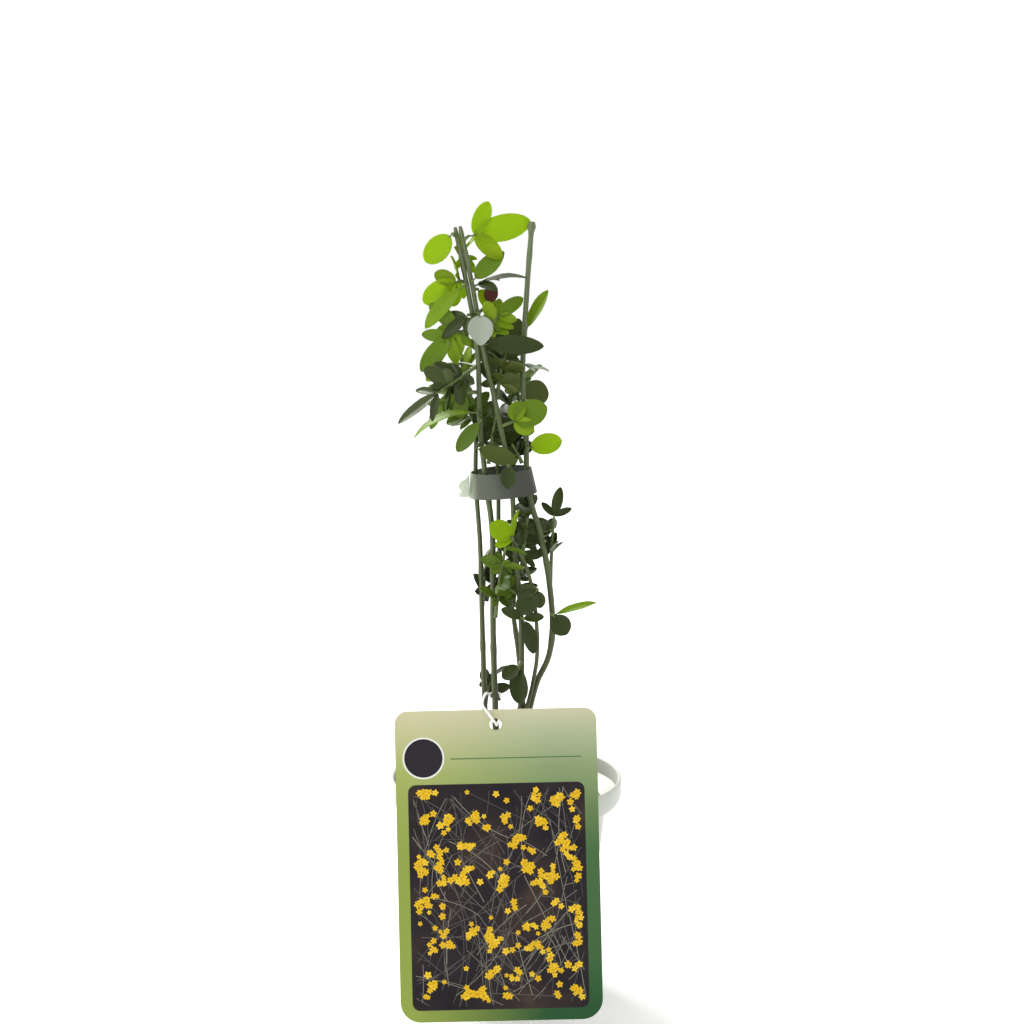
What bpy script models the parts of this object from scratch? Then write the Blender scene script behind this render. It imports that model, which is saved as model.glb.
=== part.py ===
"""Young winter jasmine in a nursery pot.

Six green stems rise from the compost, four of them from one short woody foot, and a band of soft
tape gathers them at two thirds of the height.  Leafy side shoots stand round the stems.  A printed
hang label leans on the pot's rim, held by a thin strap round a stem.

Metres, +Z up.  The origin is the centre of the pot's underside, -Y is the front.
"""

import math
import random
from dataclasses import dataclass

import bmesh
import bpy
from mathutils import Matrix, Vector
from mathutils.bvhtree import BVHTree

MM = 0.001
GAP = 0.3 * MM              # air between two pieces that touch
MERGE = 0.005 * MM          # how close two points are to be one point
UP = Vector((0, 0, 1))
FRONT = Vector((0, -1, 0))

# Pot and compost
POT_HEIGHT = 90 * MM
POT_BASE_RADIUS = 32 * MM
POT_BODY_RADIUS = 40.8 * MM     # just under the collar
COLLAR_RADIUS = 47 * MM
COLLAR_HEIGHT = 10.5 * MM
COLLAR_CORNER = 4 * MM
POT_WALL = 1.4 * MM
POT_STEPS = 32
COMPOST_EDGE = 77 * MM          # height of the compost at the wall
COMPOST_TOP = 82 * MM           # height of the compost at the stems

# Woody foot, the short brown stub that four stems rise from
FOOT_BASE = Vector((4.6, 0.4, 82.3)) * MM
FOOT_TOP = Vector((7.4, -0.2, 118.5)) * MM
FOOT_RADIUS = 2.9 * MM
FOOT_FLARE = 2.6 * MM

# Stems
STEM_STEP = 8.5 * MM              # length of one straight piece of a stem
NODE_SPACING = 31 * MM          # between two leaf joints
NODE_SWELL = 0.16               # how much a joint is thicker, as a share of the radius
NODE_LENGTH = 2.2 * MM
STEM_SIDES_RESOLUTION = 1       # six sides

# Band of tape round the stems
TIE_CENTRE = Vector((-1.6, 0, 212.1)) * MM
TIE_TOP_RADIUS = 12.3 * MM
TIE_BOTTOM_RADIUS = 13.7 * MM
TIE_DEPTH_SHARE = 0.74          # depth over width
TIE_HEIGHT = 10 * MM
TIE_TILT = math.radians(-5)
TAPE_THICKNESS = 0.5 * MM
TIE_SEGMENTS = 36

# Loose end of the tape
TAIL_WIDTH = 8 * MM

# Hang label
LABEL_WIDTH = 79 * MM
LABEL_HEIGHT = 121.5 * MM
LABEL_THICKNESS = 0.6 * MM
LABEL_TOP_CORNER = 5 * MM
LABEL_BOTTOM_CORNER = 8 * MM
LABEL_TILT = math.radians(13)       # top leans back
LABEL_ROLL = math.radians(-1.3)     # top leans right
LABEL_OFFSET = -2.8 * MM            # its middle, left of the pot's axis
LABEL_FOOT = 11 * MM                # height of its lower edge
HOLE_RADIUS = 2.3 * MM
HOLE_DROP = 5.8 * MM                # hole's centre below the upper edge

# Strap that holds the label
STRAP_RADIUS = 0.5 * MM
STRAP_HEIGHT = 124 * MM             # where it goes round the stem
STRAP_TURN = (205, 150, 90, 30, -25)    # its way points round the stem, in degrees

# Shoots
TWIG_ROOT_RADIUS = 0.85 * MM
TWIG_TIP_RADIUS = 0.55 * MM
TWIG_STEP = 4 * MM
PETIOLE_RADIUS = 0.42 * MM
PETIOLE_SHARE = 0.14                # petiole's length over the end leaflet's
SIDE_LEAFLET_SHARE = 0.62           # side leaflets' length over the end leaflet's
SIDE_LEAFLET_ANGLE = math.radians(54)
BLADE_STATIONS = (0.0, 0.26, 0.66, 1.0)
SIDE_BLADE_STATIONS = (0.0, 0.42, 1.0)
BLADE_KEEL = 0.17                   # depth of the keel over the blade's half width
BLADE_LEAST_KEEL = 0.35 * MM
GUARD = 0.35 * MM                   # air kept round a leaf
TWIG_GUARD = 0.12 * MM              # air kept round a twig
TWIG_SWING = 12                     # how far a twig turns at each new try, in degrees
TRIES = 8

# The crown's left and right edge at each height, in millimetres, seen from the front
CROWN_EDGES = (
    (95, -12, 12), (122, -13, 13), (140, -13.5, 18), (156, -14, 23), (172, -14, 19),
    (184, -14, 23), (198, -14, 22), (206, -15, 20), (218, -16, 13), (230, -27, 18), (244, -37, 17),
    (262, -34, 13), (276, -35, 12), (290, -34, 15), (308, -33, 12), (322, -20, 12),
    (330, -16, 8))
CROWN_DEPTH = 19 * MM

# Stems: way points in millimetres from the foot up, then foot and tip radius
STEMS = {
    "left_stem": (
        ((-4.5, 1.5, 82.6), (-4.2, 1.0, 110), (-5.2, 0.0, 150), (-5.4, -2.0, 190), (-8.2, -4.6, 215),
         (-10.2, -4.4, 236), (-11.2, -3.6, 266), (-14.7, -2.0, 288), (-19.9, -1.0, 314.0)),
        1.25 * MM, 0.85 * MM),
    "middle_stem": (
        ((5.9, -1.5, 119.2), (6.3, -3.0, 137), (5.9, -3.6, 160), (3.6, -4.4, 186), (2.2, -7.0, 213),
         (-1.4, -7.0, 232), (-5.6, -5.2, 252), (-9.1, -3.9, 267), (-12.6, -2.2, 288),
         (-17.9, -1.2, 314.4)),
        1.05 * MM, 0.85 * MM),
    "right_stem": (
        ((9.4, -0.3, 119.2), (12.6, -1.2, 130), (17.3, -1.4, 141), (18.7, -1.4, 155), (16.9, -1.4, 175),
         (13.8, -1.6, 191), (9.7, -1.6, 205), (8.3, -1.6, 216), (8.0, -1.2, 231), (6.6, -0.4, 256),
         (8.0, 0.0, 285), (10.2, 0.0, 316)),
        1.15 * MM, 0.95 * MM),
    "front_stem": (
        ((8.1, -2.9, 119.2), (11.0, -4.0, 131), (12.6, -4.6, 145), (11.2, -4.6, 166), (7.4, -5.2, 180),
         (2.6, -7.8, 190)),
        0.8 * MM, 0.7 * MM),
    "back_stem": (
        ((6.9, 2.0, 119.2), (5.6, 2.8, 135), (2.6, 3.4, 158), (-2.4, 3.6, 180), (-3.2, 7.4, 212),
         (-4.4, 6.0, 236), (-5.6, 4.0, 258)),
        0.95 * MM, 0.75 * MM),
    "back_left_stem": (
        ((-7.0, 7.5, 82.6), (-8.4, 6.4, 110), (-9.6, 5.0, 150), (-10.4, 3.6, 185), (-12.1, 2.6, 212),
         (-11.8, 2.6, 234)),
        1.15 * MM, 0.8 * MM),
}


@dataclass
class Shoot:
    """A side shoot with its leaves: one mass of foliage.

    Millimetres and degrees.  Azimuth 0 is to the right, 90 to the back, 270 to the front.
    A roll of 0 turns the leaf's upper face up, 90 turns it to the front, -90 to the back.
    """
    name: str
    stem: str
    height: float
    azimuth: float
    rise: float
    length: float
    leaf_azimuth: float
    leaf_rise: float
    leaf_length: float
    leaf_width: float = 0.45
    roll: float = 65
    bend: float = 22
    leaflets: int = 3
    pairs: int = 0
    pair_size: float = 0.7
    seed: int = 1
    tone: str = "mid"
    also: tuple = ()        # further leaves at its tip: azimuth, rise, length, width and roll


SHOOTS = (
    Shoot("top_spray", "middle_stem", 309.5, 320, 40, 2, 0, 14, 23, 0.46, 82, 18, tone="lime"),
    Shoot("top_left_leaf", "left_stem", 311.5, 235, 40, 1.2, 180, -46, 14.5, 0.66, 80, 16, leaflets=1,
          tone="lime"),
    Shoot("crown_pair", "middle_stem", 293, 285, 10, 1, 0, 46, 15.5, 0.5, 65, 20, leaflets=1, seed=3,
          tone="fresh",
          also=((175, 40, 9.5, 0.92, 80),)),
    Shoot("core_bright", "middle_stem", 289.5, 20, 0, 1, 4, -46, 10, 0.62, 70, 18, leaflets=1, tone="lime"),
    Shoot("silver_arch", "middle_stem", 290.5, 75, 25, 0.8, 354, 30, 19.5, 0.36, 8, 45, tone="dark"),
    Shoot("left_tuft", "left_stem", 293, 150, 20, 2, 182, -30, 15.5, 0.6, 75, 20, pairs=1, seed=7,
          tone="lime"),
    Shoot("long_curl", "left_stem", 292, 268, 10, 1.5, 190, -40, 23, 0.28, 60, 45, leaflets=1, tone="fresh"),
    Shoot("brown_leaf", "middle_stem", 281, 15, 32, 5, 20, 80, 7, 0.8, 75, 15, leaflets=1, tone="brown"),
    Shoot("dark_fan", "left_stem", 280, 235, 10, 1.5, 188, -38, 13, 0.38, 60, 20, seed=2, tone="dark"),
    Shoot("silver_shield", "middle_stem", 281, 285, 10, 3.5, 280, -64, 12, 0.9, 0, 20, leaflets=1,
          tone="silver"),
    Shoot("centre_tuft", "middle_stem", 271, 10, 65, 9, 5, 40, 12, 0.5, 60, 20, pairs=2, seed=9,
          tone="fresh"),
    Shoot("right_fold", "right_stem", 272.5, 75, 40, 1, 5, 66, 16.5, 0.36, 40, 15, leaflets=1, tone="fresh"),
    Shoot("olive_bar", "left_stem", 268.3, 290, 10, 2.5, 352, 0, 22.5, 0.34, 74, 16, leaflets=1, tone="dark"),
    Shoot("left_blade", "left_stem", 273.5, 180, 5, 8, 183, -50, 18.5, 0.42, 78, 18, pairs=1, seed=3,
          tone="fresh"),
    Shoot("left_spray", "left_stem", 259, 195, -34, 16, 185, -30, 20, 0.28, 35, 20, pairs=2, pair_size=0.55,
          seed=8, tone="dark"),
    Shoot("left_cluster", "left_stem", 259, 166, 5, 22, 186, -40, 9.5, 0.5, 70, 20, pairs=3, pair_size=0.95,
          seed=9, tone="fresh"),
    Shoot("low_left_arch", "left_stem", 241, 255, 20, 1.5, 188, 12, 26, 0.26, 15, 62, leaflets=1,
          tone="fresh"),
    Shoot("low_left_hang", "left_stem", 249, 180, -2, 18, 185, -62, 13, 0.4, 50, 20, pairs=2, pair_size=0.7,
          seed=3, tone="mid"),
    Shoot("low_left_oval", "left_stem", 238.5, 285, -20, 1, 182, -50, 15, 0.42, 70, 20, leaflets=1,
          tone="mid"),
    Shoot("right_disc", "right_stem", 248, 110, 0, 1.5, 8, 0, 10.5, 1.0, 65, 20, leaflets=1, tone="olive"),
    Shoot("right_fan", "middle_stem", 236, 0, 20, 3.8, 355, 28, 14, 0.8, 65, 20, seed=2, tone="fresh"),
    Shoot("right_needle", "right_stem", 259, 75, 20, 1, 0, -6, 9.5, 0.4, 5, 15, tone="silver"),
    Shoot("right_leaf", "right_stem", 226.5, 285, 0, 1, 5, 12, 13, 0.64, 78, 16, leaflets=1, tone="lime"),
    Shoot("tie_leaf", "left_stem", 228.5, 233, -5, 4.5, 350, -16, 16, 0.45, 72, 20, leaflets=1,
          tone="olive"),
    Shoot("inner_leaf", "back_stem", 226, 215, 30, 1.5, 0, 32, 12.5, 0.55, 75, 20, leaflets=1, seed=1,
          tone="olive"),
    Shoot("tie_point", "middle_stem", 220.5, 270, 30, 5.5, 268, -80, 9, 0.7, 0, 20, leaflets=1, tone="dark"),
    Shoot("low_tip", "front_stem", 190, 20, 82, 1, 20, 78, 12, 0.4, 50, 18, leaflets=1, seed=3, tone="lime",
          also=((190, 34, 10, 0.85, 75), (200, -20, 7.5, 0.5, 60))),
    Shoot("right_riser", "right_stem", 166, 90, 84, 31, 60, 66, 12.5, 0.36, 25, 18, pairs=3, pair_size=0.9,
          seed=8, tone="dark"),
    Shoot("low_oval", "right_stem", 188.5, 310, 0, 1, 2, -10, 10, 0.88, 70, 20, leaflets=1, tone="dark"),
    Shoot("mid_pair", "front_stem", 170, 320, 0, 2.6, 200, -50, 11.5, 0.75, 70, 20, tone="dark"),
    Shoot("low_right_pair", "right_stem", 158.5, 275, -10, 1.5, 352, 24, 16.5, 0.26, 30, 15, leaflets=1,
          tone="fresh", also=((330, -48, 9, 0.95, 60),)),
    Shoot("low_pair", "middle_stem", 158, 285, 0, 2, 335, -66, 14, 0.46, 35, 20, leaflets=1, tone="dark",
          also=((182, 28, 9, 0.5, 60), (350, 10, 8, 0.5, 60))),
    Shoot("low_side", "middle_stem", 168, 180, 30, 3, 160, 40, 9, 0.5, 60, 20, pairs=1, seed=3, tone="mid"),
    Shoot("foot_pair", "middle_stem", 139, 255, -10, 3, 250, -84, 14.5, 0.56, 0, 15, leaflets=1, tone="dark",
          also=((188, -34, 8, 0.75, 70),)),
    Shoot("core_riser", "back_stem", 219, 330, 82, 28, 60, 70, 12, 0.55, 70, 20, pairs=4, pair_size=0.95,
          seed=10,
          tone="dark"),
    Shoot("heart_riser", "middle_stem", 247, 60, 76, 20, 30, 60, 12.5, 0.55, 70, 20, pairs=3, pair_size=0.95,
          seed=2, tone="olive"),
    Shoot("heart_low", "left_stem", 221, 20, 82, 22, 20, 70, 11, 0.5, 70, 20, pairs=4, pair_size=0.9, seed=9,
          tone="dark"),
    Shoot("collar_tuft", "right_stem", 221, 180, 70, 8, 190, 30, 10.5, 0.6, 70, 20, pairs=2, pair_size=0.9,
          seed=1, tone="dark"),
    Shoot("low_heart", "middle_stem", 176, 40, 84, 26, 30, 70, 11, 0.5, 70, 20, pairs=4, pair_size=0.9,
          seed=5,
          tone="dark"),
    Shoot("low_core", "back_stem", 160, 60, 80, 28, 60, 70, 11, 0.5, 70, 20, pairs=4, pair_size=0.95, seed=5,
          tone="dark"),
    Shoot("low_left", "left_stem", 158, 300, 82, 34, 330, 60, 11, 0.5, 60, 20, pairs=4, pair_size=0.95,
          seed=5),
    Shoot("back_crown", "back_stem", 258, 110, 75, 14, 80, 55, 13, 0.5, -60, 20, pairs=3, pair_size=0.9,
          seed=4),
    Shoot("back_top", "left_stem", 300, 100, 40, 5, 70, 35, 13, 0.5, -50, 20, pairs=1, pair_size=0.9, seed=7,
          tone="lime"),
    Shoot("back_left_crown", "back_left_stem", 234, 150, 60, 14, 150, 20, 13, 0.5, -50, 20, pairs=4,
          pair_size=0.9, seed=2),
    Shoot("back_right", "right_stem", 236, 80, 60, 16, 70, 30, 13, 0.5, -60, 20, pairs=3, pair_size=0.9,
          seed=4),
    Shoot("low_back_left", "back_left_stem", 160, 80, 75, 20, 80, 20, 12, 0.5, -50, 20, pairs=3,
          pair_size=0.9, seed=9, tone="dark"),
    Shoot("foot_back", "back_left_stem", 118, 80, 60, 12, 60, 15, 11, 0.5, -50, 20, pairs=2, pair_size=0.9,
          seed=1, tone="dark"),
)

COLOURS = {
    "pot": ((0.62, 0.64, 0.58), 0.45),
    "compost": ((0.05, 0.035, 0.025), 0.95),
    "wood": ((0.16, 0.09, 0.05), 0.8),
    "stem": ((0.10, 0.15, 0.05), 0.5),
    "tape": ((0.28, 0.32, 0.26), 0.35),
    "label": ((0.33, 0.42, 0.16), 0.35),
    "strap": ((0.85, 0.86, 0.84), 0.3),
    "lime": ((0.34, 0.55, 0.02), 0.45),
    "fresh": ((0.19, 0.34, 0.03), 0.42),
    "mid": ((0.10, 0.18, 0.03), 0.4),
    "olive": ((0.13, 0.17, 0.05), 0.42),
    "dark": ((0.04, 0.08, 0.03), 0.35),
    "silver": ((0.22, 0.28, 0.19), 0.35),
    "brown": ((0.12, 0.05, 0.03), 0.5),
}


def clear_scene():
    for item in list(bpy.data.objects):
        bpy.data.objects.remove(item, do_unlink=True)


def material(name):
    colour, roughness = COLOURS[name]
    made = bpy.data.materials.get(name) or bpy.data.materials.new(name)
    made.use_nodes = True
    shader = made.node_tree.nodes["Principled BSDF"]
    shader.inputs["Base Color"].default_value = (*colour, 1)
    shader.inputs["Roughness"].default_value = roughness
    made.diffuse_color = (*colour, 1)
    return made


def add_object(name, data, finish):
    """Put new geometry in the plant's collection under its own name and finish."""
    made = bpy.data.objects.new(name, data)
    data.materials.append(material(finish))
    bpy.data.collections["winter_jasmine"].objects.link(made)
    return made


def heading(azimuth, rise):
    """The direction of a plan angle and a rise, both in degrees."""
    turn, climb = math.radians(azimuth), math.radians(rise)
    return Vector((math.cos(turn) * math.cos(climb), math.sin(turn) * math.cos(climb), math.sin(climb)))


def blend(first, second, share):
    return first + (second - first) * share


def spline(way, step, closed=False):
    """Points about step apart on a smooth curve through the way points."""
    count = len(way)
    if closed:
        corners = [way[i % count] for i in range(-1, count + 2)]
    else:
        corners = [way[0] * 2 - way[1], *way, way[-1] * 2 - way[-2]]
    points = []
    for a, b, c, d in zip(corners, corners[1:], corners[2:], corners[3:]):
        pieces = max(1, round((c - b).length / step))
        for k in range(pieces):
            t = k / pieces
            points.append(0.5 * (2 * b + (c - a) * t + (2 * a - 5 * b + 4 * c - d) * t ** 2
                                 + (3 * b - a - 3 * c + d) * t ** 3))
    return points if closed else points + [way[-1].copy()]


def side_vectors(direction):
    """Two unit vectors square to a direction and to each other."""
    helper = UP if abs(direction.z) < 0.9 else Vector((1, 0, 0))
    across = direction.cross(helper).normalized()
    return across, direction.cross(across).normalized()


def loft(rings, name):
    """A closed mesh through rings of equal length; a ring of one point is a tip."""
    shape = bmesh.new()
    rows = [[shape.verts.new(point) for point in ring] for ring in rings]
    for low, high in zip(rows, rows[1:]):
        count = max(len(low), len(high))
        for i in range(count):
            j = (i + 1) % count
            corners = [low[i % len(low)], low[j % len(low)], high[j % len(high)], high[i % len(high)]]
            shape.faces.new(dict.fromkeys(corners))
    for row in (rows[0], rows[-1]):
        if len(row) > 2:
            shape.faces.new(row)
    bmesh.ops.recalc_face_normals(shape, faces=shape.faces)
    mesh = bpy.data.meshes.new(name)
    shape.to_mesh(mesh)
    shape.free()
    return mesh


def tube_mesh(points, radii, sides, name):
    """A tube of a few sides along points, as one closed mesh."""
    rings = []
    across = None
    for i, point in enumerate(points):
        direction = (points[min(i + 1, len(points) - 1)] - points[max(i - 1, 0)]).normalized()
        if across is None:
            across, _ = side_vectors(direction)
        across = (across - direction * across.dot(direction)).normalized()
        upward = direction.cross(across)
        turns = [2 * math.pi * k / sides for k in range(sides)]
        rings.append([point + (across * math.cos(a) + upward * math.sin(a)) * radii[i] for a in turns])
    return loft(rings, name)


def closed(mesh):
    """Whether every edge joins exactly two faces."""
    shape = bmesh.new()
    shape.from_mesh(mesh)
    whole = all(len(edge.link_faces) == 2 for edge in shape.edges)
    shape.free()
    return whole


def tree_of(mesh, swell=0.0):
    """A search tree of a mesh's faces, optionally of a slightly larger copy."""
    shape = bmesh.new()
    shape.from_mesh(mesh)
    if swell:
        shape.normal_update()
        for corner in shape.verts:
            corner.co += corner.normal * swell
    tree = BVHTree.FromBMesh(shape)
    shape.free()
    return tree


class Stem:
    """The centre line and the radius of one stem."""

    def __init__(self, name):
        way, self.foot_radius, self.tip_radius = STEMS[name]
        self.name = name
        self.points = spline([Vector(point) * MM for point in way], STEM_STEP)
        self.reach = [0.0]
        for a, b in zip(self.points, self.points[1:]):
            self.reach.append(self.reach[-1] + (b - a).length)

    def radius(self, along):
        """Taper from foot to tip, with a swelling at each leaf joint."""
        share = along / self.reach[-1]
        from_joint = (along + NODE_SPACING / 2) % NODE_SPACING - NODE_SPACING / 2
        swelling = NODE_SWELL * math.exp(-(from_joint / NODE_LENGTH) ** 2)
        return blend(self.foot_radius, self.tip_radius, share) * (1 + swelling)

    def at(self, height):
        """Centre, radius and direction where the stem passes a height."""
        for i, (a, b) in enumerate(zip(self.points, self.points[1:])):
            if b.z >= height or i == len(self.points) - 2:
                share = min(1, max(0, (height - a.z) / (b.z - a.z)))
                along = blend(self.reach[i], self.reach[i + 1], share)
                return blend(a, b, share), self.radius(along), (b - a).normalized()

    def radii(self):
        return [self.radius(along) for along in self.reach]


def build_stem(stem):
    curve = bpy.data.curves.new(stem.name, "CURVE")
    curve.dimensions = "3D"
    curve.bevel_depth = 1
    curve.bevel_resolution = STEM_SIDES_RESOLUTION
    curve.use_fill_caps = True
    line = curve.splines.new("POLY")
    line.points.add(len(stem.points) - 1)
    for target, point, radius in zip(line.points, stem.points, stem.radii()):
        target.co = (*point, 1)
        target.radius = radius
    add_object(stem.name, curve, "stem")
    return tube_mesh(stem.points, [1.04 * r for r in stem.radii()], 8, stem.name + "_envelope")


def woody_foot():
    """A stub that flares where it enters the compost."""
    length = (FOOT_TOP - FOOT_BASE).length
    middle = FOOT_BASE + Vector((FOOT_TOP.x - FOOT_BASE.x, 0, 0)) * 0.35 + UP * length * 0.5
    start = FOOT_BASE - UP * MM
    points = spline([start, FOOT_BASE + UP * 3 * MM, middle, FOOT_TOP - UP * 3 * MM, FOOT_TOP], 5 * MM)
    lift = COMPOST_TOP + GAP
    points = [Vector((p.x, p.y, max(p.z, lift))) for p in points if p.z > lift - 2 * MM]
    radii = [FOOT_RADIUS * (1 - 0.12 * math.sin(40 * p.z / length))
             + FOOT_FLARE * math.exp(-(p.z - lift) / (4 * MM)) for p in points]
    mesh = tube_mesh(points, radii, 10, "woody_foot")
    mesh.shade_smooth()
    add_object("woody_foot", mesh, "wood")
    return mesh


def turned(name, profile, finish):
    """A closed round solid from a profile of radius and height."""
    mesh = bpy.data.meshes.new(name)
    mesh.from_pydata([(radius, 0, height) for radius, height in profile],
                     [(i, i + 1) for i in range(len(profile) - 1)], [])
    made = add_object(name, mesh, finish)
    screw = made.modifiers.new("Turn", "SCREW")
    screw.steps = screw.render_steps = POT_STEPS
    screw.use_merge_vertices = True
    screw.merge_threshold = MERGE
    screw.use_smooth_shade = False
    return made


def corner(centre, radius, start, end, pieces=4):
    """Points on a rounded corner of a profile, from one angle to another in degrees."""
    return [(centre[0] + radius * math.cos(math.radians(blend(start, end, k / pieces))),
             centre[1] + radius * math.sin(math.radians(blend(start, end, k / pieces))))
            for k in range(pieces + 1)]


def pot_radius(height):
    """Outer radius of the tapering wall under the collar."""
    return blend(POT_BASE_RADIUS, POT_BODY_RADIUS, height / (POT_HEIGHT - COLLAR_HEIGHT))


def pot():
    ledge = POT_HEIGHT - COLLAR_HEIGHT
    inner_collar = COLLAR_RADIUS - POT_WALL
    lip = POT_WALL / 2
    profile = [(0, POT_WALL), (pot_radius(POT_WALL) - POT_WALL, POT_WALL)]
    profile += [(pot_radius(ledge) - POT_WALL, ledge), (inner_collar, ledge + COLLAR_CORNER)]
    profile += [(inner_collar, POT_HEIGHT - lip)]
    profile += corner((COLLAR_RADIUS - lip, POT_HEIGHT - lip), lip, 180, 0)
    profile += corner((COLLAR_RADIUS - COLLAR_CORNER, ledge + COLLAR_CORNER), COLLAR_CORNER, 0, -90)
    profile += [(pot_radius(ledge), ledge), (POT_BASE_RADIUS + 0.3 * MM, 2 * MM)]
    profile += [(POT_BASE_RADIUS - 1 * MM, 0), (0, 0)]
    turned("pot", profile, "pot")


def compost():
    """The filling, a low mound that reaches its full height at the stems."""
    floor = POT_WALL + GAP
    shrink = POT_WALL + GAP * 1.6
    profile = [(0, COMPOST_TOP), (10 * MM, COMPOST_TOP)]
    edge = pot_radius(COMPOST_EDGE) - shrink
    for share in (0.35, 0.7, 1.0):
        fall = (COMPOST_TOP - COMPOST_EDGE) * share ** 2
        profile.append((blend(10 * MM, edge, share), COMPOST_TOP - fall))
    profile += [(pot_radius(floor) - shrink, floor), (0, floor)]
    turned("compost", profile, "compost")


def tie():
    """The band of tape: a slightly conical oval ring."""
    shape = bmesh.new()
    bmesh.ops.create_cone(shape, cap_ends=False, segments=TIE_SEGMENTS, radius1=TIE_BOTTOM_RADIUS,
                          radius2=TIE_TOP_RADIUS, depth=TIE_HEIGHT)
    place = Matrix.Translation(TIE_CENTRE) @ Matrix.Rotation(TIE_TILT, 4, "Y")
    bmesh.ops.transform(shape, matrix=place @ Matrix.Diagonal((1, TIE_DEPTH_SHARE, 1, 1)), verts=shape.verts)
    mesh = bpy.data.meshes.new("tie")
    shape.to_mesh(mesh)
    shape.free()
    made = add_object("tie", mesh, "tape")
    wall = made.modifiers.new("Thickness", "SOLIDIFY")
    wall.thickness = TAPE_THICKNESS
    wall.offset = -1
    return made


def tape_tail():
    """The loose end of the tape, a short curled strip that stands off the left of the band."""
    rows = []
    for k in range(6):
        share = k / 5
        swing = math.radians(blend(200, 176, share))
        outward = GAP + 0.3 * MM + 2.6 * MM * share ** 1.5
        radius = TIE_BOTTOM_RADIUS + outward
        middle = TIE_CENTRE - UP * (0.6 * MM + 3.2 * MM * share)
        middle += Vector((radius * math.cos(swing), radius * TIE_DEPTH_SHARE * math.sin(swing), 0))
        normal = Vector((math.cos(swing), math.sin(swing), 0))
        half = UP * TAIL_WIDTH / 2 * (1 - 0.25 * share)
        thick = normal * TAPE_THICKNESS / 2
        rows.append([middle - half - thick, middle + half - thick,
                     middle + half + thick, middle - half + thick])
    mesh = loft(rows, "tape_tail")
    add_object("tape_tail", mesh, "tape")
    return mesh


def label_place():
    """The label's place: its middle, turned so that its face looks to the front and a little up."""
    contact_height = POT_HEIGHT - POT_WALL / 2
    rise = LABEL_HEIGHT / 2 * math.cos(LABEL_TILT)
    centre_height = LABEL_FOOT + rise
    back_face = -(COLLAR_RADIUS + GAP + LABEL_THICKNESS / 2) / math.cos(LABEL_TILT)
    depth = back_face + (centre_height - contact_height) * math.tan(LABEL_TILT)
    return (Matrix.Translation((LABEL_OFFSET, depth, centre_height))
            @ Matrix.Rotation(-LABEL_TILT, 4, "X") @ Matrix.Rotation(LABEL_ROLL, 4, "Y"))


def flat_loop(curve, points):
    line = curve.splines.new("POLY")
    line.points.add(len(points) - 1)
    for target, (x, y) in zip(line.points, points):
        target.co = (x, y, 0, 1)
    line.use_cyclic_u = True


def label():
    """A card with rounded corners and a punched hole."""
    half_width, half_height = LABEL_WIDTH / 2, LABEL_HEIGHT / 2
    outline = []
    for side, end, radius, start in ((1, 1, LABEL_TOP_CORNER, 0), (-1, 1, LABEL_TOP_CORNER, 90),
                                     (-1, -1, LABEL_BOTTOM_CORNER, 180), (1, -1, LABEL_BOTTOM_CORNER, 270)):
        centre = (side * (half_width - radius), end * (half_height - radius))
        outline += corner(centre, radius, start, start + 90, 5)
    hole = corner((0, half_height - HOLE_DROP), HOLE_RADIUS, 0, 360, 14)[:-1]
    curve = bpy.data.curves.new("label", "CURVE")
    curve.dimensions = "2D"
    curve.fill_mode = "BOTH"
    curve.extrude = LABEL_THICKNESS / 2
    flat_loop(curve, outline)
    flat_loop(curve, hole)
    made = add_object("label", curve, "label")
    made.matrix_world = label_place() @ Matrix.Rotation(math.pi / 2, 4, "X")
    return made


def strap(stem):
    """A thin loop through the label's hole and round the left stem."""
    centre, radius, _ = stem.at(STRAP_HEIGHT)
    reach = (radius + GAP + STRAP_RADIUS) / math.cos(math.radians(32))
    place = label_place()
    hole_middle = LABEL_HEIGHT / 2 - HOLE_DROP
    over = LABEL_THICKNESS / 2 + STRAP_RADIUS + GAP

    def on_label(x, lift, out):
        return place @ Vector((x, -out, lift))

    way = [
        on_label(0, hole_middle + 0.5 * MM, 0),
        on_label(-0.8 * MM, hole_middle + 1.6 * MM, over + 0.9 * MM),
        on_label(-3.0 * MM, LABEL_HEIGHT / 2 - 1.0 * MM, over + 0.5 * MM),
        on_label(-5.0 * MM, LABEL_HEIGHT / 2 + 2.2 * MM, over - 0.3 * MM),
        centre + Vector((-reach - 1.2 * MM, -16 * MM, 5 * MM)),
        *[centre + Vector((math.cos(math.radians(a)), math.sin(math.radians(a)), 0)) * reach
          for a in STRAP_TURN],
        centre + Vector((reach + 1 * MM, -16 * MM, 0)),
        on_label(0.8 * MM, hole_middle - 0.2 * MM, -over - 2.5 * MM),
    ]
    points = spline(way, 4 * MM, closed=True)
    curve = bpy.data.curves.new("label_strap", "CURVE")
    curve.dimensions = "3D"
    curve.bevel_depth = STRAP_RADIUS
    curve.bevel_resolution = 1
    line = curve.splines.new("POLY")
    line.points.add(len(points) - 1)
    for target, point in zip(line.points, points):
        target.co = (*point, 1)
    line.use_cyclic_u = True
    made = add_object("label_strap", curve, "strap")
    return made


def blade_half_width(share):
    """Outline of a leaflet: half width over the greatest half width, along its length."""
    return math.sin(math.pi * share ** 0.92) ** 0.8 if 0 < share < 1 else 0.0


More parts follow.
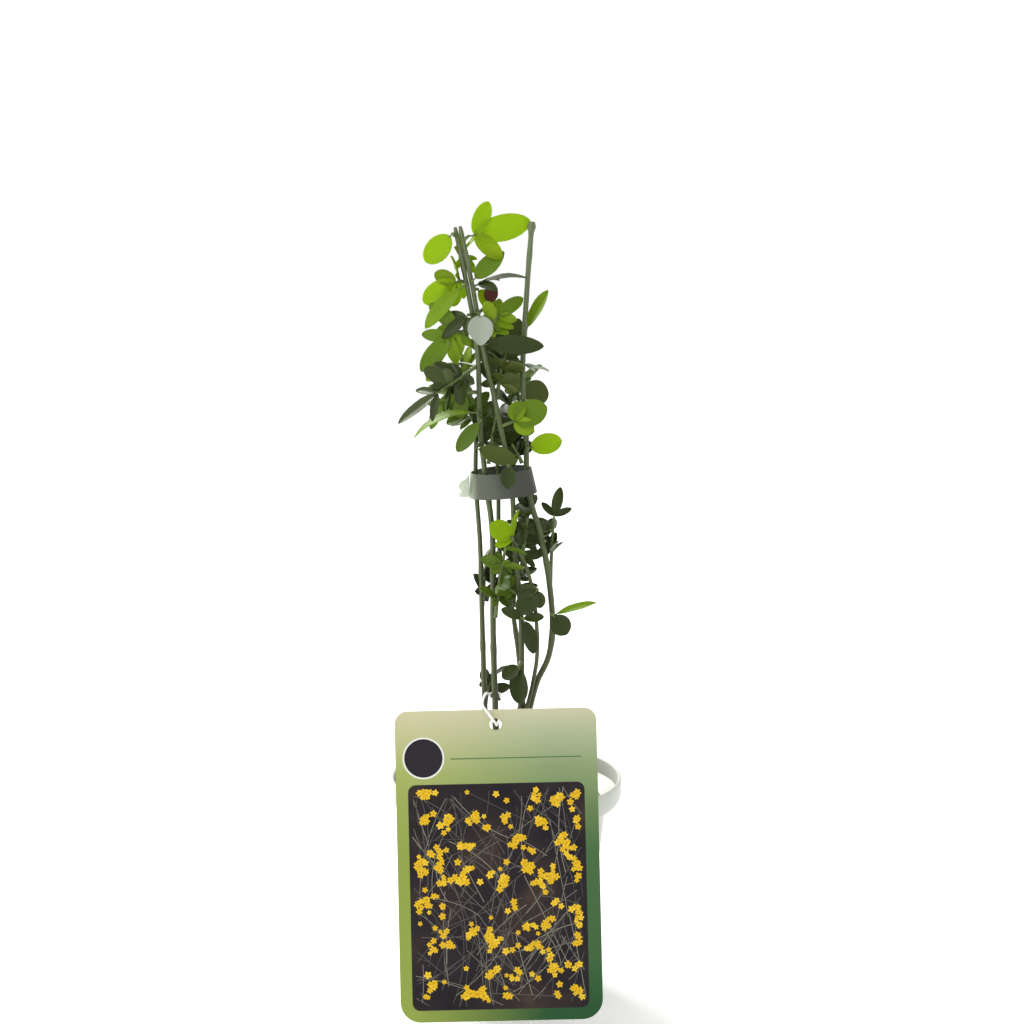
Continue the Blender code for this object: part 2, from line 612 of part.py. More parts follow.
def blade_mesh(place, length, width, bend, stations=BLADE_STATIONS):
    """A leaflet: a thin keeled blade that bends down along its length."""
    rings = []
    half = length * width / 2
    turn = max(math.radians(bend), 0.01)
    for share in stations:
        run = length * math.sin(turn * share) / turn
        fall = -length * (1 - math.cos(turn * share)) / turn
        side = half * blade_half_width(share)
        if side == 0:
            rings.append([place @ Vector((run, 0, fall))])
            continue
        keel = max(BLADE_KEEL * side, BLADE_LEAST_KEEL)
        rings.append([place @ Vector((run, side, fall)), place @ Vector((run, 0, fall - keel)),
                      place @ Vector((run, -side, fall))])
    return loft(rings, "blade")


def leaf_frame(base, direction, roll):
    """A leaf's place: X along it, Z out of its upper face, rolled from face up towards the front."""
    level = UP - direction * UP.dot(direction)
    if level.length < 0.05:
        level = FRONT - direction * FRONT.dot(direction)
    level.normalize()
    sideways = direction.cross(level)
    if sideways.dot(FRONT) < 0:
        sideways = -sideways
    face = level * math.cos(math.radians(roll)) + sideways * math.sin(math.radians(roll))
    across = face.cross(direction)
    turn = Matrix((direction, across, face)).transposed().to_4x4()
    return Matrix.Translation(base) @ turn


def crown_holds(point):
    """Whether a point is inside the crown's space."""
    height = point.z / MM
    for (low, left_low, right_low), (high, left_high, right_high) in zip(CROWN_EDGES, CROWN_EDGES[1:]):
        if low <= height <= high:
            share = (height - low) / (high - low)
            left, right = blend(left_low, left_high, share), blend(right_low, right_high, share)
            middle, reach = (left + right) / 2, (right - left) / 2
            return ((point.x / MM - middle) / reach) ** 2 + (point.y / CROWN_DEPTH) ** 2 < 1
    return False


class Mass:
    """One shoot: its twig, its petioles and its leaflets, kept clear of all that stands already."""

    def __init__(self, shoot, stem, limbs):
        self.shoot = shoot
        self.draw = random.Random(shoot.seed * 1000 + len(shoot.name))
        self.limbs = limbs
        self.pieces = []
        self.leaflets = []
        for attempt in range(TRIES):
            azimuth = shoot.azimuth + self.draw.uniform(-1, 1) * TWIG_SWING * attempt
            way = heading(azimuth, shoot.rise)
            self.twig(self.root(stem, azimuth, way), way, heading(shoot.leaf_azimuth, shoot.leaf_rise))
            if self.clear([self.twig_mesh], TWIG_GUARD):
                break

    def root(self, stem, azimuth, way):
        """Where the twig meets its stem: on the side that it leaves by, or on the stem's tip."""
        centre, radius, along = stem.at(self.shoot.height * MM)
        if self.shoot.height * MM >= stem.points[-1].z - MM:
            return stem.points[-1] + way * GAP * 1.5
        side = heading(azimuth, 0)
        outward = (side - along * side.dot(along)).normalized()
        return centre + outward * (radius * 1.02 + GAP + TWIG_ROOT_RADIUS * abs(way.dot(along)))

    def twig(self, foot, way, end_way):
        """The shoot's own axis, which turns a little towards its end leaf."""
        length = self.shoot.length * MM
        count = max(2, round(length / TWIG_STEP) + 1)
        self.points, self.ways = [foot], [way]
        for k in range(1, count):
            turned_way = (way * (1 - 0.4 * k / count) + end_way * (0.4 * k / count)).normalized()
            self.points.append(self.points[-1] + turned_way * length / (count - 1))
            self.ways.append(turned_way)
        radii = [blend(TWIG_ROOT_RADIUS, TWIG_TIP_RADIUS, k / (count - 1)) for k in range(count)]
        self.twig_mesh = tube_mesh(self.points, radii, 3, self.shoot.name)

    def clear(self, meshes, guard=GUARD):
        """Whether the meshes touch no limb, no other mass and no leaflet of this one."""
        for mesh in meshes:
            tree = tree_of(mesh, guard)
            if any(tree.overlap(other) for other in self.limbs + self.leaflets):
                return False
        return True

    def leaf(self, base, direction, roll, length, width, leaflets, named):
        """Add one leaf, a petiole with one or three leaflets, if there is room for it."""
        petiole = direction * length * PETIOLE_SHARE
        joint = base + petiole
        place = leaf_frame(joint - direction * 0.7 * MM, direction, roll)
        bend = self.shoot.bend
        blades = [blade_mesh(place, length, width, bend)]
        if leaflets == 3:
            for side in (1, -1):
                turn = Matrix.Rotation(side * SIDE_LEAFLET_ANGLE, 4, "Z")
                size = SIDE_LEAFLET_SHARE * length
                blades.append(blade_mesh(place @ turn, size, width * 1.05, bend, SIDE_BLADE_STATIONS))
        stalk = tube_mesh([base, joint], [PETIOLE_RADIUS] * 2, 3, "petiole")
        if not named:
            corners = [corner.co for blade in blades for corner in blade.vertices]
            if not all(crown_holds(corner) for corner in corners):
                return False
        kept = [blade for blade in blades if self.clear([blade])]
        if blades[0] not in kept or not self.clear([stalk]):
            return False
        self.pieces += [stalk, *kept]
        self.leaflets += [tree_of(blade) for blade in kept]
        return True

    def grow(self):
        shoot = self.shoot
        end_way = heading(shoot.leaf_azimuth, shoot.leaf_rise)
        length = shoot.leaf_length * MM
        sunk = self.ways[-1] * 0.4 * MM
        for attempt in range(TRIES):
            jitter = Vector([self.draw.uniform(-1, 1) for _ in range(3)]) * 0.07 * attempt
            if self.leaf(self.points[-1] - sunk, (end_way + jitter).normalized(), shoot.roll,
                         length, shoot.leaf_width, shoot.leaflets, True):
                break
        for azimuth, rise, size, width, roll in shoot.also:
            self.leaf(self.points[-1] - sunk, heading(azimuth, rise), roll, size * MM, width, 1, True)
        for pair in range(shoot.pairs):
            share = (pair + 1) / (shoot.pairs + 0.7)
            spot = share * (len(self.points) - 1)
            k = min(int(spot), len(self.points) - 2)
            base = blend(self.points[k], self.points[k + 1], spot - k)
            way = self.ways[k + 1]
            across, over = side_vectors(way)
            turn = self.draw.uniform(0, math.pi) + pair * math.pi / 2
            for half in (0, math.pi):
                self.pair_leaf(base, way, across, over, turn + half, length * shoot.pair_size)

    def pair_leaf(self, base, way, across, over, turn, length):
        """One leaf of an opposite pair, tried at a few angles drawn from the shoot's own seed."""
        for _ in range(TRIES):
            spin = turn + self.draw.uniform(-0.5, 0.5)
            opening = math.radians(self.draw.uniform(45, 80))
            outward = across * math.cos(spin) + over * math.sin(spin)
            direction = way * math.cos(opening) + outward * math.sin(opening)
            size = length * self.draw.uniform(0.8, 1.15)
            roll = self.draw.choice((-1, 1)) * self.draw.uniform(25, 85)
            width = self.draw.uniform(0.45, 0.62)
            if self.leaf(base, direction.normalized(), roll, size, width, 3, False):
                return

    def join(self):
        """Fuse the petioles and leaflets on to the twig with one Boolean union."""
        made = add_object(self.shoot.name, self.twig_mesh, self.shoot.tone)
        parts = bpy.data.collections.new(self.shoot.name + "_parts")
        bpy.context.scene.collection.children.link(parts)
        for k, piece in enumerate(self.pieces):
            part = bpy.data.objects.new(f"{self.shoot.name}_part_{k}", piece)
            parts.objects.link(part)
        union = made.modifiers.new("Join", "BOOLEAN")
        union.operation = "UNION"
        union.operand_type = "COLLECTION"
        union.collection = parts
        for solver in ("EXACT", "MANIFOLD"):
            union.solver = solver
            bpy.context.view_layer.update()
            fused = bpy.data.meshes.new_from_object(made.evaluated_get(bpy.context.evaluated_depsgraph_get()))
            if closed(fused):
                break
        made.modifiers.clear()
        made.data = fused
        fused.name = self.shoot.name
        for part in list(parts.objects):
            bpy.data.objects.remove(part, do_unlink=True)
        bpy.data.collections.remove(parts)
        return made


def evaluated_tree(made):
    """A search tree of an object as it stands, in world space."""
    bpy.context.view_layer.update()
    mesh = bpy.data.meshes.new_from_object(made.evaluated_get(bpy.context.evaluated_depsgraph_get()))
    mesh.transform(made.matrix_world)
    tree = tree_of(mesh)
    bpy.data.meshes.remove(mesh)
    return tree


def main():
    clear_scene()
    home = bpy.data.collections.new("winter_jasmine")
    bpy.context.scene.collection.children.link(home)
    pot()
    compost()
    limbs = [tree_of(woody_foot())]
    stems = {name: Stem(name) for name in STEMS}
    limbs += [tree_of(build_stem(stem)) for stem in stems.values()]
    limbs += [evaluated_tree(tie()), tree_of(tape_tail()), evaluated_tree(label())]
    limbs.append(evaluated_tree(strap(stems["left_stem"])))
    for shoot in SHOOTS:
        mass = Mass(shoot, stems[shoot.stem], limbs)
        mass.grow()
        limbs.append(evaluated_tree(mass.join()))


main()
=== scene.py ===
"""Dressed winter jasmine in a nursery pot.

Every piece grows from the sizes of the solid model: the same stems, the same shoots by the same seeded
rule, with finer leaves, ribbed bark, smooth turned pot, printed label and soft tape.
"""

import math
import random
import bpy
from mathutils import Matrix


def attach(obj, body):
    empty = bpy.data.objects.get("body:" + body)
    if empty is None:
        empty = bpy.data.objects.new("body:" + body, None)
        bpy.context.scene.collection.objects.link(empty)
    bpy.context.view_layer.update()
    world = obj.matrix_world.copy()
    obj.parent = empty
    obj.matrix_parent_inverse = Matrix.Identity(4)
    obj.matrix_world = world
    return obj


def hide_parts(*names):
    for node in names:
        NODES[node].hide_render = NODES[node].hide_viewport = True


bl_info = {
    "name": "Potted winter jasmine",
    "version": (1, 0, 0),
    "blender": (4, 5, 0),
    "location": "3D Viewport > Sidebar > Jasmine",
    "description": "Builds a young winter jasmine in its pot, leaf by leaf",
    "category": "Object",
}

from dataclasses import dataclass

import bmesh
import bpy
from mathutils import Matrix, Vector, noise
from mathutils.bvhtree import BVHTree

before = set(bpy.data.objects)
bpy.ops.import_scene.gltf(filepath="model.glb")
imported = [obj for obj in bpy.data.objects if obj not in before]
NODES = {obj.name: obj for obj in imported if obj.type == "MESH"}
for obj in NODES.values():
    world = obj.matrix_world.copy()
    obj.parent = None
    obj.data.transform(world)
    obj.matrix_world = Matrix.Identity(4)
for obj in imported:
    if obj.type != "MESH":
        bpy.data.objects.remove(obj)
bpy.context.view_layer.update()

MM = 0.001
GAP = 0.3 * MM              # air between two pieces that touch
MERGE = 0.005 * MM          # how close two points are to be one point
UP = Vector((0, 0, 1))
FRONT = Vector((0, -1, 0))

# Pot and compost
POT_HEIGHT = 90 * MM
POT_BASE_RADIUS = 32 * MM
POT_BODY_RADIUS = 40.8 * MM     # just under the collar
COLLAR_RADIUS = 47 * MM
COLLAR_HEIGHT = 10.5 * MM
COLLAR_CORNER = 4 * MM
POT_WALL = 1.4 * MM
POT_STEPS = 96
COMPOST_EDGE = 77 * MM          # height of the compost at the wall
COMPOST_TOP = 82 * MM           # height of the compost at the stems
MOUND_TOP = 10 * MM             # radius of the mound's level top

# Woody foot, the short brown stub that four stems rise from
FOOT_BASE = Vector((4.6, 0.4, 82.3)) * MM
FOOT_TOP = Vector((7.4, -0.2, 118.5)) * MM
FOOT_RADIUS = 2.9 * MM
FOOT_FLARE = 2.6 * MM

# Stems
STEM_STEP = 8.5 * MM            # length of one straight piece of a stem in the solid model
NODE_SPACING = 31 * MM          # between two leaf joints
NODE_SWELL = 0.16               # how much a joint is thicker, as a share of the radius
NODE_LENGTH = 2.2 * MM

# Band of tape round the stems
TIE_CENTRE = Vector((-1.6, 0, 212.1)) * MM
TIE_TOP_RADIUS = 12.3 * MM
TIE_BOTTOM_RADIUS = 13.7 * MM
TIE_DEPTH_SHARE = 0.74          # depth over width
TIE_HEIGHT = 10 * MM
TIE_TILT = math.radians(-5)
TAPE_THICKNESS = 0.5 * MM
TIE_SEGMENTS = 96

# Loose end of the tape
TAIL_WIDTH = 8 * MM

# Hang label
LABEL_WIDTH = 79 * MM
LABEL_HEIGHT = 121.5 * MM
LABEL_THICKNESS = 0.6 * MM
LABEL_TOP_CORNER = 5 * MM
LABEL_BOTTOM_CORNER = 8 * MM
LABEL_TILT = math.radians(13)       # top leans back
LABEL_ROLL = math.radians(-1.3)     # top leans right
LABEL_OFFSET = -2.8 * MM            # its middle, left of the pot's axis
LABEL_FOOT = 11 * MM                # height of its lower edge
HOLE_RADIUS = 2.3 * MM
HOLE_DROP = 5.8 * MM                # hole's centre below the upper edge

# Strap that holds the label
STRAP_RADIUS = 0.5 * MM
STRAP_HEIGHT = 124 * MM             # where it goes round the stem
STRAP_TURN = (205, 150, 90, 30, -25)    # its way points round the stem, in degrees

# Shoots
TWIG_ROOT_RADIUS = 0.85 * MM
TWIG_TIP_RADIUS = 0.55 * MM
TWIG_STEP = 4 * MM
PETIOLE_RADIUS = 0.42 * MM
PETIOLE_SHARE = 0.14                # petiole's length over the end leaflet's
SIDE_LEAFLET_SHARE = 0.62           # side leaflets' length over the end leaflet's
SIDE_LEAFLET_ANGLE = math.radians(54)
BLADE_STATIONS = (0.0, 0.26, 0.66, 1.0)
SIDE_BLADE_STATIONS = (0.0, 0.42, 1.0)
BLADE_KEEL = 0.17                   # depth of the keel over the blade's half width
BLADE_LEAST_KEEL = 0.35 * MM
GUARD = 0.35 * MM                   # air kept round a leaf
TWIG_GUARD = 0.12 * MM              # air kept round a twig
TWIG_SWING = 12                     # how far a twig turns at each new try, in degrees
TRIES = 8

# The crown's left and right edge at each height, in millimetres, seen from the front
CROWN_EDGES = (
    (95, -12, 12), (122, -13, 13), (140, -13.5, 18), (156, -14, 23), (172, -14, 19),
    (184, -14, 23), (198, -14, 22), (206, -15, 20), (218, -16, 13), (230, -27, 18), (244, -37, 17),
    (262, -34, 13), (276, -35, 12), (290, -34, 15), (308, -33, 12), (322, -20, 12),
    (330, -16, 8))
CROWN_DEPTH = 19 * MM

# Stems: way points in millimetres from the foot up, then foot and tip radius
STEMS = {
    "left_stem": (
        ((-4.5, 1.5, 82.6), (-4.2, 1.0, 110), (-5.2, 0.0, 150), (-5.4, -2.0, 190), (-8.2, -4.6, 215),
         (-10.2, -4.4, 236), (-11.2, -3.6, 266), (-14.7, -2.0, 288), (-19.9, -1.0, 314.0)),
        1.25 * MM, 0.85 * MM),
    "middle_stem": (
        ((5.9, -1.5, 119.2), (6.3, -3.0, 137), (5.9, -3.6, 160), (3.6, -4.4, 186), (2.2, -7.0, 213),
         (-1.4, -7.0, 232), (-5.6, -5.2, 252), (-9.1, -3.9, 267), (-12.6, -2.2, 288),
         (-17.9, -1.2, 314.4)),
        1.05 * MM, 0.85 * MM),
    "right_stem": (
        ((9.4, -0.3, 119.2), (12.6, -1.2, 130), (17.3, -1.4, 141), (18.7, -1.4, 155), (16.9, -1.4, 175),
         (13.8, -1.6, 191), (9.7, -1.6, 205), (8.3, -1.6, 216), (8.0, -1.2, 231), (6.6, -0.4, 256),
         (8.0, 0.0, 285), (10.2, 0.0, 316)),
        1.15 * MM, 0.95 * MM),
    "front_stem": (
        ((8.1, -2.9, 119.2), (11.0, -4.0, 131), (12.6, -4.6, 145), (11.2, -4.6, 166), (7.4, -5.2, 180),
         (2.6, -7.8, 190)),
        0.8 * MM, 0.7 * MM),
    "back_stem": (
        ((6.9, 2.0, 119.2), (5.6, 2.8, 135), (2.6, 3.4, 158), (-2.4, 3.6, 180), (-3.2, 7.4, 212),
         (-4.4, 6.0, 236), (-5.6, 4.0, 258)),
        0.95 * MM, 0.75 * MM),
    "back_left_stem": (
        ((-7.0, 7.5, 82.6), (-8.4, 6.4, 110), (-9.6, 5.0, 150), (-10.4, 3.6, 185), (-12.1, 2.6, 212),
         (-11.8, 2.6, 234)),
        1.15 * MM, 0.8 * MM),
}

# Printed picture on the label, in the card's own frame
PICTURE_WIDTH = 69 * MM
PICTURE_SHIFT = -0.3 * MM
PICTURE_LOW = -LABEL_HEIGHT / 2 + 4.6 * MM
PICTURE_HEIGHT = 88 * MM
PICTURE_CORNER = 3 * MM
PICTURE_INSET = 1.2 * MM        # bare edge round the printed twigs
HEADER_LINE = LABEL_HEIGHT / 2 - 19 * MM
HEADER_LINE_START = -18 * MM
HEADER_LINE_END = 33 * MM
ROUNDEL_MIDDLE = -28.5 * MM
ROUNDEL_RING = 0.7 * MM
PRINT_SUNK = 0.02 * MM          # how far a print reaches into the card
BACK_THICKNESS = 0.04 * MM      # the label's plain back
CARD_CORNER_STEPS = 12
HOLE_STEPS = 32
PRINTED_TWIGS = 190
PRINTED_STROKES = 7             # straight strokes of one printed twig
PRINTED_COLUMNS = 8             # clusters of printed blossoms, side by side and one above another
PRINTED_ROWS = 10
CLUSTER_DRAW = (0, 1, 4, 7, 11, 15)     # how many blossoms a cluster may have

# Fineness of what scene.py adds to the solid model
FINE_STATIONS = 9               # rows of a fine leaf between its two ends
FINE_COLUMNS = (-1.0, -0.5, 0.0, 0.5, 1.0)
TIP_TAPERS = {"silver_shield": 0.5, "crown_pair": 0.25, "dark_fan": 0.2}    # slimmer outer ends
FINE_STEM_STEP = 2 * MM
FINE_TWIG_STEP = 1.6 * MM
STEM_SIDES = 16
FOOT_SIDES = 24
TWIG_SIDES = 7
PETIOLE_SIDES = 5
PETIOLE_RADII = (0.4 * MM, 0.34 * MM, 0.3 * MM)
GRAIN_SCALE = 600               # lumps of bark to a metre
KNOBBED_STEM = "right_stem"     # the stem whose last joint is swollen at its cut top
TOP_KNOB = 0.85                 # that swelling over the stem's radius
KNOB_LENGTH = 2.4 * MM
CUT_END = 0.7                   # a stem's cut top over its radius just below
TAIL_ROWS = 16                  # rows of the tape's loose end

# Stage, in metres
FLOOR_SIZE = 90
FLOOR_DROP = 0.5 * MM
WORLD_STRENGTH = 1.05
# Lamps: name, place, target, size, power and colour
LAMPS = (
    ("back_key", (-0.55, 0.75, 0.85), (0, 0, 0.22), 0.5, 14, (1.0, 0.99, 0.95)),
    ("left_fill", (-0.9, -0.5, 0.7), (0, 0, 0.18), 0.8, 5, (1, 1, 1)),
)
CAMERA_AIM = Vector((0.0024, 0, 0.1999))
CAMERA_DISTANCE = 1.1
CAMERA_RISE = math.radians(12)
CAMERA_SENSOR = 36
VIEW_HALF_WIDTH = 0.2048        # half of what the camera sees across, at its aim


@dataclass
class Shoot:
    """A side shoot with its leaves: one mass of foliage.

    Millimetres and degrees.  Azimuth 0 is to the right, 90 to the back, 270 to the front.
    A roll of 0 turns the leaf's upper face up, 90 turns it to the front, -90 to the back.
    """
    name: str
    stem: str
    height: float
    azimuth: float
    rise: float
    length: float
    leaf_azimuth: float
    leaf_rise: float
    leaf_length: float
    leaf_width: float = 0.45
    roll: float = 65
    bend: float = 22
    leaflets: int = 3
    pairs: int = 0
    pair_size: float = 0.7
    seed: int = 1
    tone: str = "mid"
    also: tuple = ()        # further leaves at its tip: azimuth, rise, length, width and roll


SHOOTS = (
    Shoot("top_spray", "middle_stem", 309.5, 320, 40, 2, 0, 14, 23, 0.46, 82, 18, tone="lime"),
    Shoot("top_left_leaf", "left_stem", 311.5, 235, 40, 1.2, 180, -46, 14.5, 0.66, 80, 16, leaflets=1,
          tone="lime"),
    Shoot("crown_pair", "middle_stem", 293, 285, 10, 1, 0, 46, 15.5, 0.5, 65, 20, leaflets=1, seed=3,
          tone="fresh", also=((175, 40, 9.5, 0.92, 80),)),
    Shoot("core_bright", "middle_stem", 289.5, 20, 0, 1, 4, -46, 10, 0.62, 70, 18, leaflets=1, tone="lime"),
    Shoot("silver_arch", "middle_stem", 290.5, 75, 25, 0.8, 354, 30, 19.5, 0.36, 8, 45, tone="dark"),
    Shoot("left_tuft", "left_stem", 293, 150, 20, 2, 182, -30, 15.5, 0.6, 75, 20, pairs=1, seed=7,
          tone="lime"),
    Shoot("long_curl", "left_stem", 292, 268, 10, 1.5, 190, -40, 23, 0.28, 60, 45, leaflets=1, tone="fresh"),
    Shoot("brown_leaf", "middle_stem", 281, 15, 32, 5, 20, 80, 7, 0.8, 75, 15, leaflets=1, tone="brown"),
    Shoot("dark_fan", "left_stem", 280, 235, 10, 1.5, 188, -38, 13, 0.38, 60, 20, seed=2, tone="dark"),
    Shoot("silver_shield", "middle_stem", 281, 285, 10, 3.5, 280, -64, 12, 0.9, 0, 20, leaflets=1,
          tone="silver"),
    Shoot("centre_tuft", "middle_stem", 271, 10, 65, 9, 5, 40, 12, 0.5, 60, 20, pairs=2, seed=9,
          tone="fresh"),
    Shoot("right_fold", "right_stem", 272.5, 75, 40, 1, 5, 66, 16.5, 0.36, 40, 15, leaflets=1, tone="fresh"),
    Shoot("olive_bar", "left_stem", 268.3, 290, 10, 2.5, 352, 0, 22.5, 0.34, 74, 16, leaflets=1, tone="dark"),
    Shoot("left_blade", "left_stem", 273.5, 180, 5, 8, 183, -50, 18.5, 0.42, 78, 18, pairs=1, seed=3,
          tone="fresh"),
    Shoot("left_spray", "left_stem", 259, 195, -34, 16, 185, -30, 20, 0.28, 35, 20, pairs=2, pair_size=0.55,
          seed=8, tone="dark"),
    Shoot("left_cluster", "left_stem", 259, 166, 5, 22, 186, -40, 9.5, 0.5, 70, 20, pairs=3, pair_size=0.95,
          seed=9, tone="fresh"),
    Shoot("low_left_arch", "left_stem", 241, 255, 20, 1.5, 188, 12, 26, 0.26, 15, 62, leaflets=1,
          tone="fresh"),
    Shoot("low_left_hang", "left_stem", 249, 180, -2, 18, 185, -62, 13, 0.4, 50, 20, pairs=2, pair_size=0.7,
          seed=3, tone="mid"),
    Shoot("low_left_oval", "left_stem", 238.5, 285, -20, 1, 182, -50, 15, 0.42, 70, 20, leaflets=1,
          tone="mid"),
    Shoot("right_disc", "right_stem", 248, 110, 0, 1.5, 8, 0, 10.5, 1.0, 65, 20, leaflets=1, tone="olive"),
    Shoot("right_fan", "middle_stem", 236, 0, 20, 3.8, 355, 28, 14, 0.8, 65, 20, seed=2, tone="fresh"),
    Shoot("right_needle", "right_stem", 259, 75, 20, 1, 0, -6, 9.5, 0.4, 5, 15, tone="silver"),
    Shoot("right_leaf", "right_stem", 226.5, 285, 0, 1, 5, 12, 13, 0.64, 78, 16, leaflets=1, tone="lime"),
    Shoot("tie_leaf", "left_stem", 228.5, 233, -5, 4.5, 350, -16, 16, 0.45, 72, 20, leaflets=1,
          tone="olive"),
    Shoot("inner_leaf", "back_stem", 226, 215, 30, 1.5, 0, 32, 12.5, 0.55, 75, 20, leaflets=1, seed=1,
          tone="olive"),
    Shoot("tie_point", "middle_stem", 220.5, 270, 30, 5.5, 268, -80, 9, 0.7, 0, 20, leaflets=1, tone="dark"),
    Shoot("low_tip", "front_stem", 190, 20, 82, 1, 20, 78, 12, 0.4, 50, 18, leaflets=1, seed=3, tone="lime",
          also=((190, 34, 10, 0.85, 75), (200, -20, 7.5, 0.5, 60))),
    Shoot("right_riser", "right_stem", 166, 90, 84, 31, 60, 66, 12.5, 0.36, 25, 18, pairs=3, pair_size=0.9,
          seed=8, tone="dark"),
    Shoot("low_oval", "right_stem", 188.5, 310, 0, 1, 2, -10, 10, 0.88, 70, 20, leaflets=1, tone="dark"),
    Shoot("mid_pair", "front_stem", 170, 320, 0, 2.6, 200, -50, 11.5, 0.75, 70, 20, tone="dark"),
    Shoot("low_right_pair", "right_stem", 158.5, 275, -10, 1.5, 352, 24, 16.5, 0.26, 30, 15, leaflets=1,
          tone="fresh", also=((330, -48, 9, 0.95, 60),)),
    Shoot("low_pair", "middle_stem", 158, 285, 0, 2, 335, -66, 14, 0.46, 35, 20, leaflets=1, tone="dark",
          also=((182, 28, 9, 0.5, 60), (350, 10, 8, 0.5, 60))),
    Shoot("low_side", "middle_stem", 168, 180, 30, 3, 160, 40, 9, 0.5, 60, 20, pairs=1, seed=3, tone="mid"),
    Shoot("foot_pair", "middle_stem", 139, 255, -10, 3, 250, -84, 14.5, 0.56, 0, 15, leaflets=1, tone="dark",
          also=((188, -34, 8, 0.75, 70),)),
    Shoot("core_riser", "back_stem", 219, 330, 82, 28, 60, 70, 12, 0.55, 70, 20, pairs=4, pair_size=0.95,
          seed=10, tone="dark"),
    Shoot("heart_riser", "middle_stem", 247, 60, 76, 20, 30, 60, 12.5, 0.55, 70, 20, pairs=3, pair_size=0.95,
          seed=2, tone="olive"),
    Shoot("heart_low", "left_stem", 221, 20, 82, 22, 20, 70, 11, 0.5, 70, 20, pairs=4, pair_size=0.9, seed=9,
          tone="dark"),
    Shoot("collar_tuft", "right_stem", 221, 180, 70, 8, 190, 30, 10.5, 0.6, 70, 20, pairs=2, pair_size=0.9,
          seed=1, tone="dark"),
    Shoot("low_heart", "middle_stem", 176, 40, 84, 26, 30, 70, 11, 0.5, 70, 20, pairs=4, pair_size=0.9,
          seed=5, tone="dark"),
    Shoot("low_core", "back_stem", 160, 60, 80, 28, 60, 70, 11, 0.5, 70, 20, pairs=4, pair_size=0.95, seed=5,
          tone="dark"),
    Shoot("low_left", "left_stem", 158, 300, 82, 34, 330, 60, 11, 0.5, 60, 20, pairs=4, pair_size=0.95,
          seed=5),
    Shoot("back_crown", "back_stem", 258, 110, 75, 14, 80, 55, 13, 0.5, -60, 20, pairs=3, pair_size=0.9,
          seed=4),
    Shoot("back_top", "left_stem", 300, 100, 40, 5, 70, 35, 13, 0.5, -50, 20, pairs=1, pair_size=0.9, seed=7,
          tone="lime"),
    Shoot("back_left_crown", "back_left_stem", 234, 150, 60, 14, 150, 20, 13, 0.5, -50, 20, pairs=4,
          pair_size=0.9, seed=2),
    Shoot("back_right", "right_stem", 236, 80, 60, 16, 70, 30, 13, 0.5, -60, 20, pairs=3, pair_size=0.9,
          seed=4),
    Shoot("low_back_left", "back_left_stem", 160, 80, 75, 20, 80, 20, 12, 0.5, -50, 20, pairs=3,
          pair_size=0.9, seed=9, tone="dark"),
    Shoot("foot_back", "back_left_stem", 118, 80, 60, 12, 60, 15, 11, 0.5, -50, 20, pairs=2, pair_size=0.9,
          seed=1, tone="dark"),
)

STEM_NAMES = tuple(STEMS)
MASS_NAMES = tuple(shoot.name for shoot in SHOOTS)

# Each tone of leaf: its main colour and two near shades, how much light comes through it, its roughness
# Lime is painted backlight, olive and dark painted shade, silver a painted reflection; brown is real
LEAF_TONES = {
    "lime": (((0.31, 0.49, 0.005), (0.27, 0.41, 0.006), (0.22, 0.33, 0.01)), 0.5, 0.5),
    "fresh": (((0.20, 0.33, 0.01), (0.25, 0.38, 0.013), (0.14, 0.24, 0.012)), 0.36, 0.45),
    "mid": (((0.085, 0.15, 0.01), (0.11, 0.18, 0.014), (0.06, 0.11, 0.012)), 0.22, 0.42),
    "olive": (((0.07, 0.092, 0.014), (0.054, 0.075, 0.012), (0.09, 0.112, 0.025)), 0.2, 0.45),
    "dark": (((0.028, 0.043, 0.007), (0.04, 0.058, 0.011), (0.054, 0.078, 0.02)), 0.1, 0.38),
    "silver": (((0.34, 0.38, 0.31), (0.26, 0.30, 0.23), (0.18, 0.22, 0.15)), 0.12, 0.34),
    "brown": (((0.075, 0.022, 0.012), (0.10, 0.03, 0.016), (0.06, 0.02, 0.012)), 0.2, 0.5),
}
LEAF_SHINE = 0.2
THROUGH_TINT = (1.3, 1.1, 0.5)      # how the light that comes through a leaf is tinted
DARK_SECOND_LEAF = "low_right_pair"     # the shoot whose second leaf is in shade
SHADE_DRAW = (0, 0, 1, 1, 2)        # the shades of a tone, dealt out leaf by leaf
PRINT_SHINE = {"Coat Weight": 0.03, "Specular IOR Level": 0.2}

# Plain printed or moulded colours
PLAIN_PRINTS = {
    "card_back": (0.55, 0.57, 0.49), "blossom_pale": (0.68, 0.45, 0.02), "blossom_heart": (0.36, 0.19, 0.006),
    "print_twig": (0.19, 0.18, 0.14), "print_stem": (0.085, 0.08, 0.07), "print_line": (0.06, 0.15, 0.05),
    "print_ring": (0.62, 0.64, 0.58), "print_disc": (0.012, 0.009, 0.014),
}


def measure(name, words, value):
    return bpy.props.FloatProperty(name=name, description=words, default=value, min=0, unit="LENGTH")


def proportion(name, words, value):
    return bpy.props.FloatProperty(name=name, description=words, default=value, min=0, subtype="FACTOR")


def tint(name, words, value):
    return bpy.props.FloatVectorProperty(name=name, description=words, default=value, min=0, max=1, size=3,
                                         subtype="COLOR")


def leaf_tint(tone, words):
    return tint(f"{tone.capitalize()} leaf", words, LEAF_TONES[tone][0][0])


